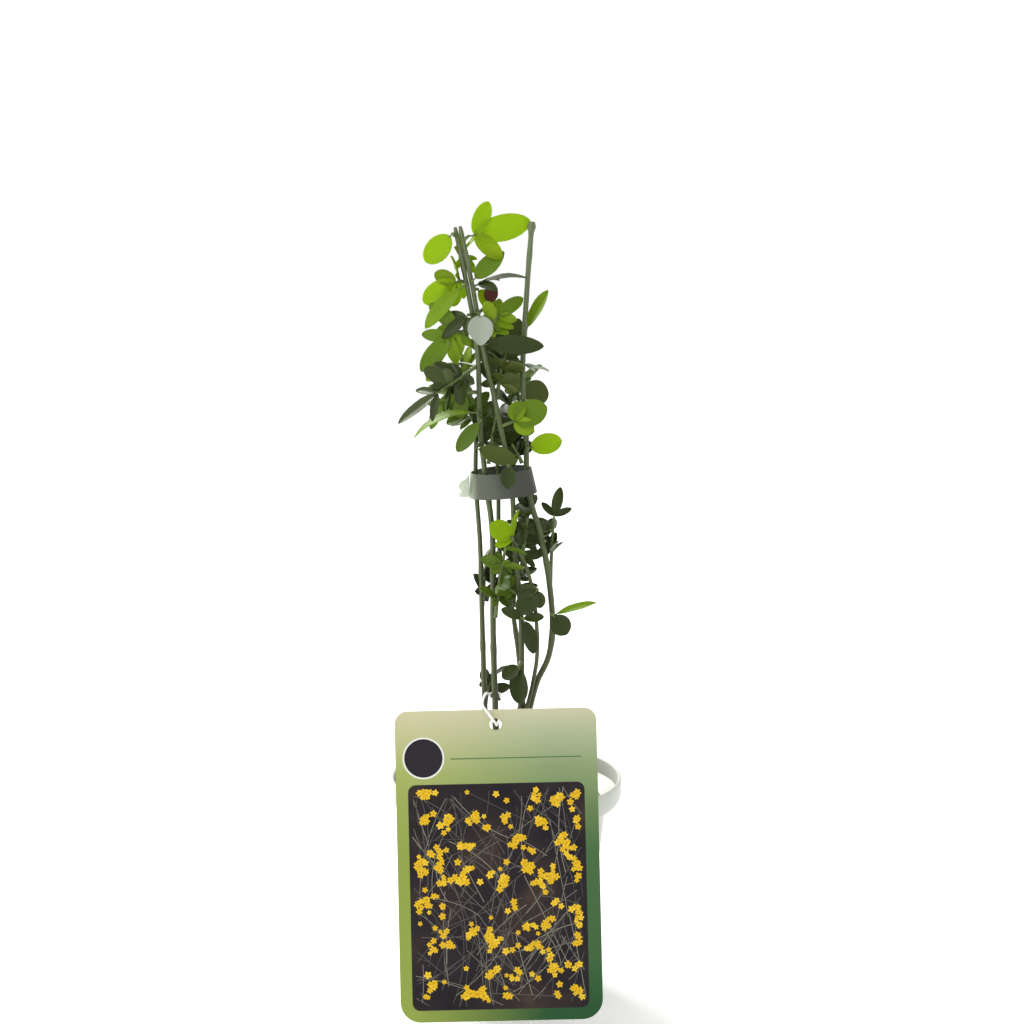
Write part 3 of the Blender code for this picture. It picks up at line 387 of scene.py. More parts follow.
class JasmineSizes(bpy.types.PropertyGroup):
    """Sizes that a user may change before building."""
    leaf_thickness: measure("Leaf thickness", "Thickness of a leaf", 0.22 * MM)
    midrib_depth: measure("Midrib depth", "How deep a leaf's midrib is sunk", 0.16 * MM)
    edge_wave: proportion("Edge wave", "How far a leaf's edge waves, over its half width", 0.05)
    stem_rib: proportion("Stem ribs", "Height of a green stem's ribs over its radius", 0.07)
    stem_grain: proportion("Stem grain", "Roughness of a green stem's bark over its radius", 0.05)
    wood_grain: proportion("Wood grain", "Roughness of the woody foot's bark over its radius", 0.16)
    roundel: measure("Roundel", "Radius of the plain disc at the label's head", 8.2 * MM)
    crumb_least: measure("Least crumb", "Radius of the smallest crumb of compost", 0.5 * MM)
    crumb_most: measure("Largest crumb", "Radius of the largest crumb of compost", 1.7 * MM)
    crumbs: bpy.props.IntProperty(name="Crumbs", description="Loose crumbs of compost", default=420, min=1)


class JasmineColours(bpy.types.PropertyGroup):
    """Colours that a user may change before building.  A tone's other shades keep their distance from it."""
    # Painted light: lime is backlight, olive and dark are shade, silver is a reflection; fresh and mid
    # between
    lime: leaf_tint("lime", "Upper leaves with the light behind them")
    fresh: leaf_tint("fresh", "Young leaves of the crown")
    mid: leaf_tint("mid", "Grown leaves")
    olive: leaf_tint("olive", "Leaves in half shade")
    dark: leaf_tint("dark", "Leaves inside the plant")
    silver: leaf_tint("silver", "Leaves that mirror the light")
    brown: leaf_tint("brown", "Old leaves")
    pot_light: tint("Pot", "Lighter mottling of the pot's plastic", (0.50, 0.52, 0.46))
    pot_dark: tint("Pot, darker", "Darker mottling of the pot's plastic", (0.39, 0.41, 0.355))
    blossom: tint("Blossom", "Petals in the label's picture", (0.60, 0.37, 0.006))
    strap: tint("Strap", "Strap of the label", (0.80, 0.82, 0.80))
    floor: tint("Floor", "Studio floor", (0.955, 0.955, 0.95))


def sizes():
    return bpy.context.scene.jasmine_sizes


def colours():
    return bpy.context.scene.jasmine_colours


def add_node(tree, kind, settings, inputs, output=0):
    """Add a node: its settings first, such as a ramp's stops, then the values or links of its sockets."""
    made = tree.nodes.new(kind)
    for key, value in settings.items():
        if key == "stops":
            elements = made.color_ramp.elements
            while len(elements) < len(value):
                elements.new(0.5)
            for element, (position, colour) in zip(elements, value):
                element.position = position
                element.color = (*colour, 1)
        else:
            setattr(made, key, value)
    for key, value in inputs.items():
        if isinstance(value, Wire):
            tree.links.new(value.socket, made.inputs[key])
        else:
            made.inputs[key].default_value = value
    return Wire(tree, made.outputs[output])


class Wire:
    """A shader value that takes part in plain arithmetic."""

    def __init__(self, tree, socket):
        self.tree = tree
        self.socket = socket

    def combine(self, operation, first, second):
        return add_node(self.tree, "ShaderNodeMath", {"operation": operation}, {0: first, 1: second})

    def __add__(self, other):
        return self.combine("ADD", self, other)

    __radd__ = __add__

    def __sub__(self, other):
        return self.combine("SUBTRACT", self, other)

    def __rsub__(self, other):
        return self.combine("SUBTRACT", other, self)

    def __mul__(self, other):
        return self.combine("MULTIPLY", self, other)

    __rmul__ = __mul__


class Finish:
    """A material with one Principled shader and a short way to add nodes to it."""

    def __init__(self, name, colour, roughness, plain=None):
        self.material = bpy.data.materials.new(name)
        self.material.use_nodes = True
        self.material.diffuse_color = (*colour, 1)
        self.tree = self.material.node_tree
        self.shader = self.tree.nodes["Principled BSDF"]
        own = {"Base Color": (*colour, 1), "Roughness": roughness, **(plain or {})}
        for socket, value in own.items():
            self.shader.inputs[socket].default_value = value

    def node(self, kind, settings=None, inputs=None, output=0):
        return add_node(self.tree, kind, settings or {}, inputs or {}, output)

    def feed(self, socket, wire):
        self.tree.links.new(wire.socket, self.shader.inputs[socket])

    def place(self, stretch=(1, 1, 1)):
        """Object coordinates, stretched."""
        spot = self.node("ShaderNodeTexCoord", output=3)
        return self.node("ShaderNodeMapping", inputs={"Vector": spot, "Scale": stretch})

    def along(self, axis):
        """How far along one axis a point lies, in metres: 0 across, 1 deep, 2 high."""
        return self.node("ShaderNodeSeparateXYZ", inputs={"Vector": self.place()}, output=axis)

    def noise(self, scale, detail=3.0, stretch=(1, 1, 1)):
        return self.node("ShaderNodeTexNoise", inputs={"Vector": self.place(stretch), "Scale": scale,
                                                       "Detail": detail})

    def ramp(self, factor, *stops):
        """Colours along a value: pairs of position and colour."""
        return self.node("ShaderNodeValToRGB", {"stops": stops}, {"Fac": factor})

    def paint(self, factor, *stops):
        self.feed("Base Color", self.ramp(factor, *stops))

    def relief(self, height, depth):
        """Bump of a real depth in metres."""
        self.feed("Normal", self.node("ShaderNodeBump", inputs={"Height": height, "Strength": 1.0,
                                                                "Distance": depth}))


def pot_plastic():
    made = Finish("pot_plastic", (0.60, 0.62, 0.56), 0.42)
    made.paint(made.noise(28, 4), (0.3, colours().pot_dark), (0.7, colours().pot_light))
    made.feed("Roughness", made.noise(60, 3) * 0.2 + 0.33)
    made.relief(made.noise(900, 2), 0.06 * MM)
    return made


def compost_earth():
    made = Finish("compost_earth", (0.03, 0.02, 0.013), 0.95)
    made.paint(made.noise(420, 5), (0.35, (0.012, 0.008, 0.005)), (0.6, (0.05, 0.032, 0.02)),
               (0.75, (0.10, 0.07, 0.045)))
    made.relief(made.noise(500, 6), 1.2 * MM)
    return made


def brown_bark():
    made = Finish("brown_bark", (0.12, 0.07, 0.035), 0.8)
    made.paint(made.noise(260, 5, (1, 1, 0.35)), (0.3, (0.045, 0.024, 0.012)), (0.55, (0.14, 0.08, 0.04)),
               (0.75, (0.26, 0.17, 0.09)))
    made.relief(made.noise(420, 5, (1, 1, 0.3)), 0.6 * MM)
    return made


def green_bark():
    """Green stems, long fine streaks; painted light and shade: paler, greyer top, darker low in the plant."""
    made = Finish("green_bark", (0.10, 0.14, 0.05), 0.48)
    streaks = made.noise(700, 4, (1, 1, 0.06))
    blotches = made.noise(90, 3, (1, 1, 0.4))
    # Painted light and shade: the height ramp pales the stems towards the top and darkens them low down
    share = (made.along(2) - 0.085) * 4.3 + (streaks - 0.5) * 0.5 + (blotches - 0.5) * 0.5
    made.paint(share, (0.0, (0.05, 0.045, 0.018)), (0.25, (0.056, 0.07, 0.018)), (0.6, (0.055, 0.08, 0.02)),
               (0.85, (0.082, 0.108, 0.04)), (1.0, (0.11, 0.135, 0.058)))
    made.feed("Roughness", streaks * 0.3 + 0.35)
    made.relief(streaks, 0.12 * MM)
    return made


def twig_bark():
    made = Finish("twig_bark", (0.12, 0.18, 0.04), 0.45)
    made.paint(made.noise(260, 3), (0.3, (0.045, 0.07, 0.014)), (0.7, (0.11, 0.16, 0.03)))
    return made


def leaf_finish(tone, shade):
    """A leaf: plain colour, soft gloss, and light that comes through it."""
    shades, glow, roughness = LEAF_TONES[tone]
    shifted = zip(getattr(colours(), tone), shades[0], shades[shade])
    colour = [value + other - main for value, main, other in shifted] if shade else getattr(colours(), tone)
    made = Finish(f"leaf_{tone}_{shade}", colour, roughness, {"Specular IOR Level": LEAF_SHINE})
    through = made.node("ShaderNodeBsdfTranslucent", inputs={
        "Color": (*[value * share for value, share in zip(colour, THROUGH_TINT)], 1)})
    both = made.node("ShaderNodeMixShader", inputs={
        0: glow, 1: Wire(made.tree, made.shader.outputs[0]), 2: through})
    made.tree.links.new(both.socket, made.tree.nodes["Material Output"].inputs["Surface"])
    return made


def soft_tape():
    """Grey-green tape: painted light on the left, painted shade on the right where stems show through."""
    made = Finish("soft_tape", (0.16, 0.18, 0.14), 0.36, {"Specular IOR Level": 0.4})
    # Painted light and shade across the band: pale on its lit left side, dark on its right side
    share = (made.along(0) + 0.019) * 31 + (made.noise(160, 4, (1, 1, 0.5)) - 0.5) * 0.5
    made.paint(share, (0.0, (0.36, 0.42, 0.32)), (0.16, (0.17, 0.195, 0.14)), (0.3, (0.075, 0.084, 0.06)),
               (0.6, (0.046, 0.051, 0.036)), (1.0, (0.026, 0.027, 0.02)))
    made.feed("Roughness", made.noise(300, 3) * 0.3 + 0.26)
    made.relief(made.noise(420, 4, (0.3, 0.3, 1)), 0.25 * MM)
    return made


def printed_card():
    """The label's ground: cream at the head, yellow-green at the left, deep green low on the right."""
    made = Finish("printed_card", (0.3, 0.4, 0.1), 0.4, PRINT_SHINE)
    grain = (made.noise(14, 2) - 0.5) * 0.1
    below = 0.131 - made.along(2)
    left = made.ramp(below * 14 + grain, (0.0, (0.52, 0.48, 0.32)), (0.35, (0.295, 0.34, 0.10)),
                     (0.51, (0.245, 0.305, 0.066)), (0.8, (0.21, 0.27, 0.046)))
    right = made.ramp(below * 8.2 + grain, (0.0, (0.47, 0.46, 0.31)), (0.07, (0.34, 0.38, 0.23)),
                      (0.18, (0.20, 0.265, 0.125)), (0.3, (0.112, 0.178, 0.067)),
                      (0.45, (0.044, 0.112, 0.035)), (0.8, (0.033, 0.098, 0.029)),
                      (0.95, (0.011, 0.066, 0.018)))
    # The right hand side's colours take over near the middle
    side = (made.along(0) + 0.036) * 19 + grain
    made.feed("Base Color", made.node("ShaderNodeMix", {"data_type": "RGBA", "clamp_factor": True},
                                      {0: side, 6: left, 7: right}, 2))
    return made


def picture_ground():
    made = Finish("picture_ground", (0.02, 0.012, 0.014), 0.55, PRINT_SHINE)
    made.paint(made.noise(55, 4), (0.34, (0.005, 0.003, 0.006)), (0.52, (0.012, 0.007, 0.009)),
               (0.68, (0.032, 0.019, 0.014)), (0.82, (0.07, 0.045, 0.022)))
    return made


def white_strap():
    made = Finish("white_strap", colours().strap, 0.3)
    made.feed("Roughness", made.noise(200, 2) * 0.2 + 0.22)
    return made


MAKERS = {
    "pot": pot_plastic, "compost": compost_earth, "wood": brown_bark, "stem": green_bark, "twig": twig_bark,
    "tape": soft_tape, "label": printed_card, "picture": picture_ground, "strap": white_strap,
    "floor": lambda: Finish("pale_floor", colours().floor, 0.7),
    "blossom": lambda: Finish("blossom", colours().blossom, 0.5, PRINT_SHINE),
}
MADE = {}


def finish_of(name):
    """Each finish is made once."""
    if name not in MADE:
        if name in PLAIN_PRINTS:
            made = Finish(name, PLAIN_PRINTS[name], 0.5, PRINT_SHINE)
        elif name.startswith("leaf_"):
            _, tone, shade = name.split("_")
            made = leaf_finish(tone, int(shade))
        else:
            made = MAKERS[name]()
        MADE[name] = made.material
    return MADE[name]


def mesh_from(shape, name, outward=True, smooth=True):
    """A mesh from a finished shape, with its faces turned outwards."""
    if outward:
        bmesh.ops.recalc_face_normals(shape, faces=shape.faces)
    mesh = bpy.data.meshes.new(name)
    shape.to_mesh(mesh)
    shape.free()
    if smooth:
        mesh.shade_smooth()
    return mesh


def placed(name, data):
    """Put a mesh or a curve in the scene, as the one object that is selected."""
    bpy.ops.object.select_all(action="DESELECT")
    made = bpy.data.objects.new(name, data)
    bpy.context.scene.collection.objects.link(made)
    made.select_set(True)
    bpy.context.view_layer.objects.active = made
    return made


def ride_in_place(name, finish, nodes=()):
    """Show the active object in place of its solids, riding on the plant."""
    made = bpy.context.object
    made.name = "fine_" + name
    made.data.name = name
    made.data.materials.clear()
    made.data.materials.append(finish_of(finish))
    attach(made, "root")
    nodes = nodes or ((name,) if name in NODES else ())
    if nodes:
        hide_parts(*nodes)


def finished(name, finish, angle, nodes=()):
    """Apply the active object's place, weld it, shade it smooth up to an angle, and show it."""
    if bpy.context.object.type == "CURVE":
        bpy.ops.object.convert(target="MESH")
    bpy.ops.object.transform_apply(location=True, rotation=True, scale=True)
    bpy.ops.object.mode_set(mode="EDIT")
    bpy.ops.mesh.select_all(action="SELECT")
    bpy.ops.mesh.remove_doubles(threshold=MERGE)
    bpy.ops.mesh.normals_make_consistent(inside=False)
    bpy.ops.object.mode_set(mode="OBJECT")
    bpy.ops.object.shade_smooth_by_angle(angle=math.radians(angle))
    ride_in_place(name, finish, nodes)


def walled(thickness, offset):
    """Give the active object's sheet its thickness."""
    bpy.ops.object.modifier_add(type="SOLIDIFY")
    wall = bpy.context.object.modifiers[-1]
    wall.thickness = thickness
    wall.offset = offset
    bpy.ops.object.modifier_apply(modifier=wall.name)


def heading(azimuth, rise):
    """The direction of a plan angle and a rise, both in degrees."""
    turn, climb = math.radians(azimuth), math.radians(rise)
    return Vector((math.cos(turn) * math.cos(climb), math.sin(turn) * math.cos(climb), math.sin(climb)))


def blend(first, second, share):
    return first + (second - first) * share


def spline(way, step, closed=False):
    """Points about step apart on a smooth curve through the way points."""
    count = len(way)
    if closed:
        corners = [way[i % count] for i in range(-1, count + 2)]
    else:
        corners = [way[0] * 2 - way[1], *way, way[-1] * 2 - way[-2]]
    points = []
    for a, b, c, d in zip(corners, corners[1:], corners[2:], corners[3:]):
        pieces = max(1, round((c - b).length / step))
        for k in range(pieces):
            t = k / pieces
            points.append(0.5 * (2 * b + (c - a) * t + (2 * a - 5 * b + 4 * c - d) * t ** 2
                                 + (3 * b - a - 3 * c + d) * t ** 3))
    return points if closed else points + [way[-1].copy()]


def lengths_along(points):
    """How far along the points each one lies."""
    reach = [0.0]
    for a, b in zip(points, points[1:]):
        reach.append(reach[-1] + (b - a).length)
    return reach


def side_vectors(direction):
    """Two unit vectors square to a direction and to each other."""
    helper = UP if abs(direction.z) < 0.9 else Vector((1, 0, 0))
    across = direction.cross(helper).normalized()
    return across, direction.cross(across).normalized()


def add_loft(shape, rings, closed=True):
    """Add a surface through rings of equal length; a ring of one point is a tip."""
    rows = [[shape.verts.new(point) for point in ring] for ring in rings]
    for low, high in zip(rows, rows[1:]):
        for i in range(max(len(low), len(high)) - (not closed)):
            j = i + 1
            corners = [low[i % len(low)], low[j % len(low)], high[j % len(high)], high[i % len(high)]]
            shape.faces.new(dict.fromkeys(corners))
    for row in (rows[0], rows[-1]):
        if closed and len(row) > 2:
            shape.faces.new(row)


def add_tube(shape, points, radii, sides, ribs=0.0, grain=0.0):
    """Add a closed tube along points, with four soft ribs along it and a rough grain if asked."""
    rings = []
    across = None
    for i, (point, radius) in enumerate(zip(points, radii)):
        direction = (points[min(i + 1, len(points) - 1)] - points[max(i - 1, 0)]).normalized()
        if across is None:
            across, _ = side_vectors(direction)
        across = (across - direction * across.dot(direction)).normalized()
        upward = direction.cross(across)
        ring = []
        for k in range(sides):
            angle = 2 * math.pi * k / sides
            out = across * math.cos(angle) + upward * math.sin(angle)
            swell = ribs * math.cos(4 * angle)
            if grain:
                swell += grain * noise.noise((point + out * radius) * GRAIN_SCALE)
            ring.append(point + out * radius * (1 + swell))
        rings.append(ring)
    add_loft(shape, rings)


def plain_shape(add, *facts):
    """The plain mesh that the shoots' rule tests: one tube or one loft, in a shape of its own."""
    shape = bmesh.new()
    add(shape, *facts)
    return mesh_from(shape, "plain", smooth=False)


def tree_of(mesh, swell=0.0):
    """A search tree of a mesh's faces, optionally of a slightly larger copy."""
    shape = bmesh.new()
    shape.from_mesh(mesh)
    if swell:
        shape.normal_update()
        for corner_point in shape.verts:
            corner_point.co += corner_point.normal * swell
    tree = BVHTree.FromBMesh(shape)
    shape.free()
    return tree


class Stem:
    """The centre line and the radius of one stem."""

    def __init__(self, name):
        way, self.foot_radius, self.tip_radius = STEMS[name]
        self.way = [Vector(point) * MM for point in way]
        self.points = spline(self.way, STEM_STEP)
        self.reach = lengths_along(self.points)

    def radius(self, along):
        """Taper from foot to tip, with a swelling at each leaf joint."""
        share = along / self.reach[-1]
        from_joint = (along + NODE_SPACING / 2) % NODE_SPACING - NODE_SPACING / 2
        swelling = NODE_SWELL * math.exp(-(from_joint / NODE_LENGTH) ** 2)
        return blend(self.foot_radius, self.tip_radius, share) * (1 + swelling)

    def at(self, height):
        """Centre, radius and direction where the stem passes a height."""
        for i, (a, b) in enumerate(zip(self.points, self.points[1:])):
            if b.z >= height or i == len(self.points) - 2:
                share = min(1, max(0, (height - a.z) / (b.z - a.z)))
                along = blend(self.reach[i], self.reach[i + 1], share)
                return blend(a, b, share), self.radius(along), (b - a).normalized()


def corner(centre, radius, start, end, pieces=4):
    """Points on a rounded corner of a profile, from one angle to another in degrees."""
    angles = [math.radians(blend(start, end, k / pieces)) for k in range(pieces + 1)]
    return [(centre[0] + radius * math.cos(a), centre[1] + radius * math.sin(a)) for a in angles]


def pot_radius(height):
    """Outer radius of the tapering wall under the collar."""
    return blend(POT_BASE_RADIUS, POT_BODY_RADIUS, height / (POT_HEIGHT - COLLAR_HEIGHT))


def turned(rings):
    """A round solid: a filled circle, extruded and resized from one ring of a profile to the next."""
    bpy.ops.object.select_all(action="DESELECT")
    (before, low), *others = rings
    bpy.ops.mesh.primitive_circle_add(vertices=POT_STEPS, radius=before, fill_type="TRIFAN",
                                      location=(0, 0, low))
    bpy.ops.object.mode_set(mode="EDIT")
    for radius, height in others:
        bpy.ops.mesh.extrude_region_move(TRANSFORM_OT_translate={"value": (0, 0, height - low)})
        bpy.ops.transform.resize(value=(radius / before, radius / before, 1), center_override=(0, 0, 0))
        before, low = radius, height
    bpy.ops.object.mode_set(mode="OBJECT")


def label_place():
    """The label's place: its middle, turned so that its face looks to the front and a little up."""
    contact_height = POT_HEIGHT - POT_WALL / 2
    centre_height = LABEL_FOOT + LABEL_HEIGHT / 2 * math.cos(LABEL_TILT)
    back_face = -(COLLAR_RADIUS + GAP + LABEL_THICKNESS / 2) / math.cos(LABEL_TILT)
    depth = back_face + (centre_height - contact_height) * math.tan(LABEL_TILT)
    return (Matrix.Translation((LABEL_OFFSET, depth, centre_height))
            @ Matrix.Rotation(-LABEL_TILT, 4, "X") @ Matrix.Rotation(LABEL_ROLL, 4, "Y"))


def line_curve(name, dimensions, *loops):
    """A curve object of closed straight-sided loops."""
    curve = bpy.data.curves.new(name, "CURVE")
    curve.dimensions = dimensions
    for points in loops:
        line = curve.splines.new("POLY")
        line.points.add(len(points) - 1)
        for target, point in zip(line.points, points):
            target.co = (*point, 0, 1) if len(point) == 2 else (*point, 1)
        line.use_cyclic_u = True
    return placed(name, curve)


def card(name, thickness, back=0.0):
    """A card with rounded corners and a punched hole, at the label's place."""
    half_width, half_height = LABEL_WIDTH / 2, LABEL_HEIGHT / 2
    outline = []
    for side, end, radius, start in ((1, 1, LABEL_TOP_CORNER, 0), (-1, 1, LABEL_TOP_CORNER, 90),
                                     (-1, -1, LABEL_BOTTOM_CORNER, 180), (1, -1, LABEL_BOTTOM_CORNER, 270)):
        centre = (side * (half_width - radius), end * (half_height - radius))
        outline += corner(centre, radius, start, start + 90, CARD_CORNER_STEPS)
    hole = corner((0, half_height - HOLE_DROP), HOLE_RADIUS, 0, 360, HOLE_STEPS)[:-1]
    made = line_curve(name, "2D", outline, hole)
    made.data.fill_mode = "BOTH"
    made.data.extrude = thickness / 2
    upright = Matrix.Rotation(math.pi / 2, 4, "X")
    made.matrix_world = label_place() @ Matrix.Translation((0, back, 0)) @ upright
    finished(name, name, 30)


def strap_way():
    """The strap's way points, through the label's hole and round the left stem."""
    centre, radius, _ = Stem("left_stem").at(STRAP_HEIGHT)
    reach = (radius + GAP + STRAP_RADIUS) / math.cos(math.radians(32))
    place = label_place()
    hole_middle = LABEL_HEIGHT / 2 - HOLE_DROP
    over = LABEL_THICKNESS / 2 + STRAP_RADIUS + GAP

    def on_label(x, lift, out):
        return place @ Vector((x, -out, lift))

    return [
        on_label(0, hole_middle + 0.5 * MM, 0),
        on_label(-0.8 * MM, hole_middle + 1.6 * MM, over + 0.9 * MM),
        on_label(-3.0 * MM, LABEL_HEIGHT / 2 - 1.0 * MM, over + 0.5 * MM),
        on_label(-5.0 * MM, LABEL_HEIGHT / 2 + 2.2 * MM, over - 0.3 * MM),
        centre + Vector((-reach - 1.2 * MM, -16 * MM, 5 * MM)),
        *[centre + heading(angle, 0) * reach for angle in STRAP_TURN],
        centre + Vector((reach + 1 * MM, -16 * MM, 0)),
        on_label(0.8 * MM, hole_middle - 0.2 * MM, -over - 2.5 * MM),
    ]


def bent(length, bend, share):
    """How far along and how far down a bending leaf has come at a share of its length."""
    turn = max(math.radians(bend), 0.01)
    return length * math.sin(turn * share) / turn, -length * (1 - math.cos(turn * share)) / turn


def keel_of(side):
    return max(BLADE_KEEL * side, BLADE_LEAST_KEEL) if side else 0


def blade_mesh(place, length, width, bend, stations=BLADE_STATIONS):
    """A plain leaflet: a thin keeled blade that bends down along its length."""
    rings = []
    for share in stations:
        run, fall = bent(length, bend, share)
        ring = [(run, 0, fall)]
        if 0 < share < 1:
            side = length * width / 2 * math.sin(math.pi * share ** 0.92) ** 0.8
            ring = [(run, side, fall), (run, 0, fall - keel_of(side)), (run, -side, fall)]
        rings.append([place @ Vector(point) for point in ring])
    return plain_shape(add_loft, rings)


def leaf_frame(base, direction, roll):
    """A leaf's place: X along it, Z out of its upper face, rolled from face up towards the front."""
    level = UP - direction * UP.dot(direction)
    if level.length < 0.05:
        level = FRONT - direction * FRONT.dot(direction)
    level.normalize()
    sideways = direction.cross(level)
    if sideways.dot(FRONT) < 0:
        sideways = -sideways
    face = level * math.cos(math.radians(roll)) + sideways * math.sin(math.radians(roll))
    across = face.cross(direction)
    turn = Matrix((direction, across, face)).transposed().to_4x4()
    return Matrix.Translation(base) @ turn


def crown_holds(point):
    """Whether a point is inside the crown's space."""
    height = point.z / MM
    for (low, left_low, right_low), (high, left_high, right_high) in zip(CROWN_EDGES, CROWN_EDGES[1:]):
        if low <= height <= high:
            share = (height - low) / (high - low)
            left, right = blend(left_low, left_high, share), blend(right_low, right_high, share)
            middle, reach = (left + right) / 2, (right - left) / 2
            return ((point.x / MM - middle) / reach) ** 2 + (point.y / CROWN_DEPTH) ** 2 < 1
    return False


class Mass:
    """One shoot: its twig, its petioles and its leaflets, kept clear of all that stands already."""

    def __init__(self, shoot, stem, limbs):
        self.shoot = shoot
        self.draw = random.Random(shoot.seed * 1000 + len(shoot.name))
        self.limbs = limbs
        self.leaflets = []      # search trees of the leaflets that stand
        self.blades = []        # their place, length, width and bend
        self.stalks = []        # foot and joint of each petiole
        for attempt in range(TRIES):
            azimuth = shoot.azimuth + self.draw.uniform(-1, 1) * TWIG_SWING * attempt
            way = heading(azimuth, shoot.rise)
            twig = self.twig(self.root(stem, azimuth, way), way, heading(shoot.leaf_azimuth, shoot.leaf_rise))
            if self.clear(twig, TWIG_GUARD):
                break

    def root(self, stem, azimuth, way):
        """Where the twig meets its stem: on the side that it leaves by, or on the stem's tip."""
        centre, radius, along = stem.at(self.shoot.height * MM)
        if self.shoot.height * MM >= stem.points[-1].z - MM:
            return stem.points[-1] + way * GAP * 1.5
        side = heading(azimuth, 0)
        outward = (side - along * side.dot(along)).normalized()
        return centre + outward * (radius * 1.02 + GAP + TWIG_ROOT_RADIUS * abs(way.dot(along)))

    def twig(self, foot, way, end_way):
        """The shoot's own axis, which turns a little towards its end leaf."""
        length = self.shoot.length * MM
        count = max(2, round(length / TWIG_STEP) + 1)
        self.points, self.ways = [foot], [way]
        for k in range(1, count):
            turned_way = (way * (1 - 0.4 * k / count) + end_way * (0.4 * k / count)).normalized()
            self.points.append(self.points[-1] + turned_way * length / (count - 1))
            self.ways.append(turned_way)
        return plain_shape(add_tube, self.points, twig_radii(count), 3)

    def clear(self, mesh, guard=GUARD):
        """Whether the mesh touches no limb, no other mass and no leaflet of this one."""
        tree = tree_of(mesh, guard)
        return not any(tree.overlap(other) for other in self.limbs + self.leaflets)

    def leaf(self, base, direction, roll, length, width, leaflets, named):
        """Add one leaf, a petiole with one or three leaflets, if there is room for it."""
        joint = base + direction * length * PETIOLE_SHARE
        place = leaf_frame(joint - direction * 0.7 * MM, direction, roll)
        bend = self.shoot.bend
        facts = [(place, length, width, bend)]
        if leaflets == 3:
            for side in (1, -1):
                turn = Matrix.Rotation(side * SIDE_LEAFLET_ANGLE, 4, "Z")
                facts.append((place @ turn, SIDE_LEAFLET_SHARE * length, width * 1.05, bend))
        blades = [blade_mesh(*fact, SIDE_BLADE_STATIONS if k else BLADE_STATIONS)
                  for k, fact in enumerate(facts)]
        if not named and not all(crown_holds(point.co) for blade in blades for point in blade.vertices):
            return False
        kept = [self.clear(blade) for blade in blades]
        if not kept[0] or not self.clear(plain_shape(add_tube, [base, joint], [PETIOLE_RADIUS] * 2, 3)):
            return False
        self.stalks.append((base, joint))
        self.blades += [fact for fact, stays in zip(facts, kept) if stays]
        self.leaflets += [tree_of(blade) for blade, stays in zip(blades, kept) if stays]
        return True

    def grow(self):
        shoot = self.shoot
        end_way = heading(shoot.leaf_azimuth, shoot.leaf_rise)
        length = shoot.leaf_length * MM
        sunk = self.ways[-1] * 0.4 * MM
        for attempt in range(TRIES):
            jitter = Vector([self.draw.uniform(-1, 1) for _ in range(3)]) * 0.07 * attempt
            if self.leaf(self.points[-1] - sunk, (end_way + jitter).normalized(), shoot.roll,
                         length, shoot.leaf_width, shoot.leaflets, True):
                break
        for azimuth, rise, size, width, roll in shoot.also:
            self.leaf(self.points[-1] - sunk, heading(azimuth, rise), roll, size * MM, width, 1, True)
        for pair in range(shoot.pairs):
            spot = (pair + 1) / (shoot.pairs + 0.7) * (len(self.points) - 1)
            k = min(int(spot), len(self.points) - 2)
            base = blend(self.points[k], self.points[k + 1], spot - k)
            turn = self.draw.uniform(0, math.pi) + pair * math.pi / 2
            for half in (0, math.pi):
                self.pair_leaf(base, self.ways[k + 1], turn + half, length * shoot.pair_size)

    def pair_leaf(self, base, way, turn, length):
        """One leaf of an opposite pair, tried at a few angles drawn from the shoot's own seed."""
        across, over = side_vectors(way)
        for _ in range(TRIES):
            spin = turn + self.draw.uniform(-0.5, 0.5)
            opening = math.radians(self.draw.uniform(45, 80))
            outward = across * math.cos(spin) + over * math.sin(spin)
            direction = way * math.cos(opening) + outward * math.sin(opening)
            size = length * self.draw.uniform(0.8, 1.15)
            roll = self.draw.choice((-1, 1)) * self.draw.uniform(25, 85)
            width = self.draw.uniform(0.45, 0.62)
            if self.leaf(base, direction.normalized(), roll, size, width, 3, False):
                return


def twig_radii(count):
    return [blend(TWIG_ROOT_RADIUS, TWIG_TIP_RADIUS, k / (count - 1)) for k in range(count)]


def add_blade(shape, place, length, width, bend, draw, taper=0.0):
    """Add one smooth leaf: keeled, with a sunk midrib and a gently waved edge."""
    fullness = 0.88 - 0.62 * min(0.52, width)
    phase = draw.uniform(0, 6.28)
    curl = draw.uniform(-0.05, 0.1)

    def at(share, column):
        run, fall = bent(length, bend, share)
        side = length * width / 2 * max(0, 4 * share * (1 - share)) ** fullness * (1 - taper * share ** 3)
        edge = abs(column)
        lift = keel_of(side) * (edge ** 1.4 - 1) + side * edge ** 3 * curl
        wave = side * sizes().edge_wave * edge ** 2 * math.sin(share * 11 + phase + (column > 0) * 1.3)
        rib = 0 if column else -sizes().midrib_depth
        return place @ Vector((run, column * side, fall + lift + wave + rib))

    shares = [0.5 - 0.5 * math.cos(math.pi * i / (FINE_STATIONS + 1)) for i in range(1, FINE_STATIONS + 1)]
    rows = [[at(share, column) for column in FINE_COLUMNS] for share in shares]
    add_loft(shape, [[at(0, 0)], *rows, [at(1, 0)]], closed=False)


def print_patch(shape, rim, lift):
    """Add a thin raised patch with a given outline on the card's face."""
    place = label_place()
    add_loft(shape, [[place @ Vector((x, depth - LABEL_THICKNESS / 2, z)) for x, z in rim]
                     for depth in (-lift, PRINT_SUNK)])


def print_disc(shape, centre, radius, sides, lift, squash=1.0, turn=0.0):
    """Add a flat printed disc, or a turned oval, on the card's face."""
    rim = []
    for k in range(sides):
        angle = 2 * math.pi * k / sides
        x, y = radius * math.cos(angle), radius * squash * math.sin(angle)
        rim.append((centre[0] + x * math.cos(turn) - y * math.sin(turn),
                    centre[1] + x * math.sin(turn) + y * math.cos(turn)))
    print_patch(shape, rim, lift)


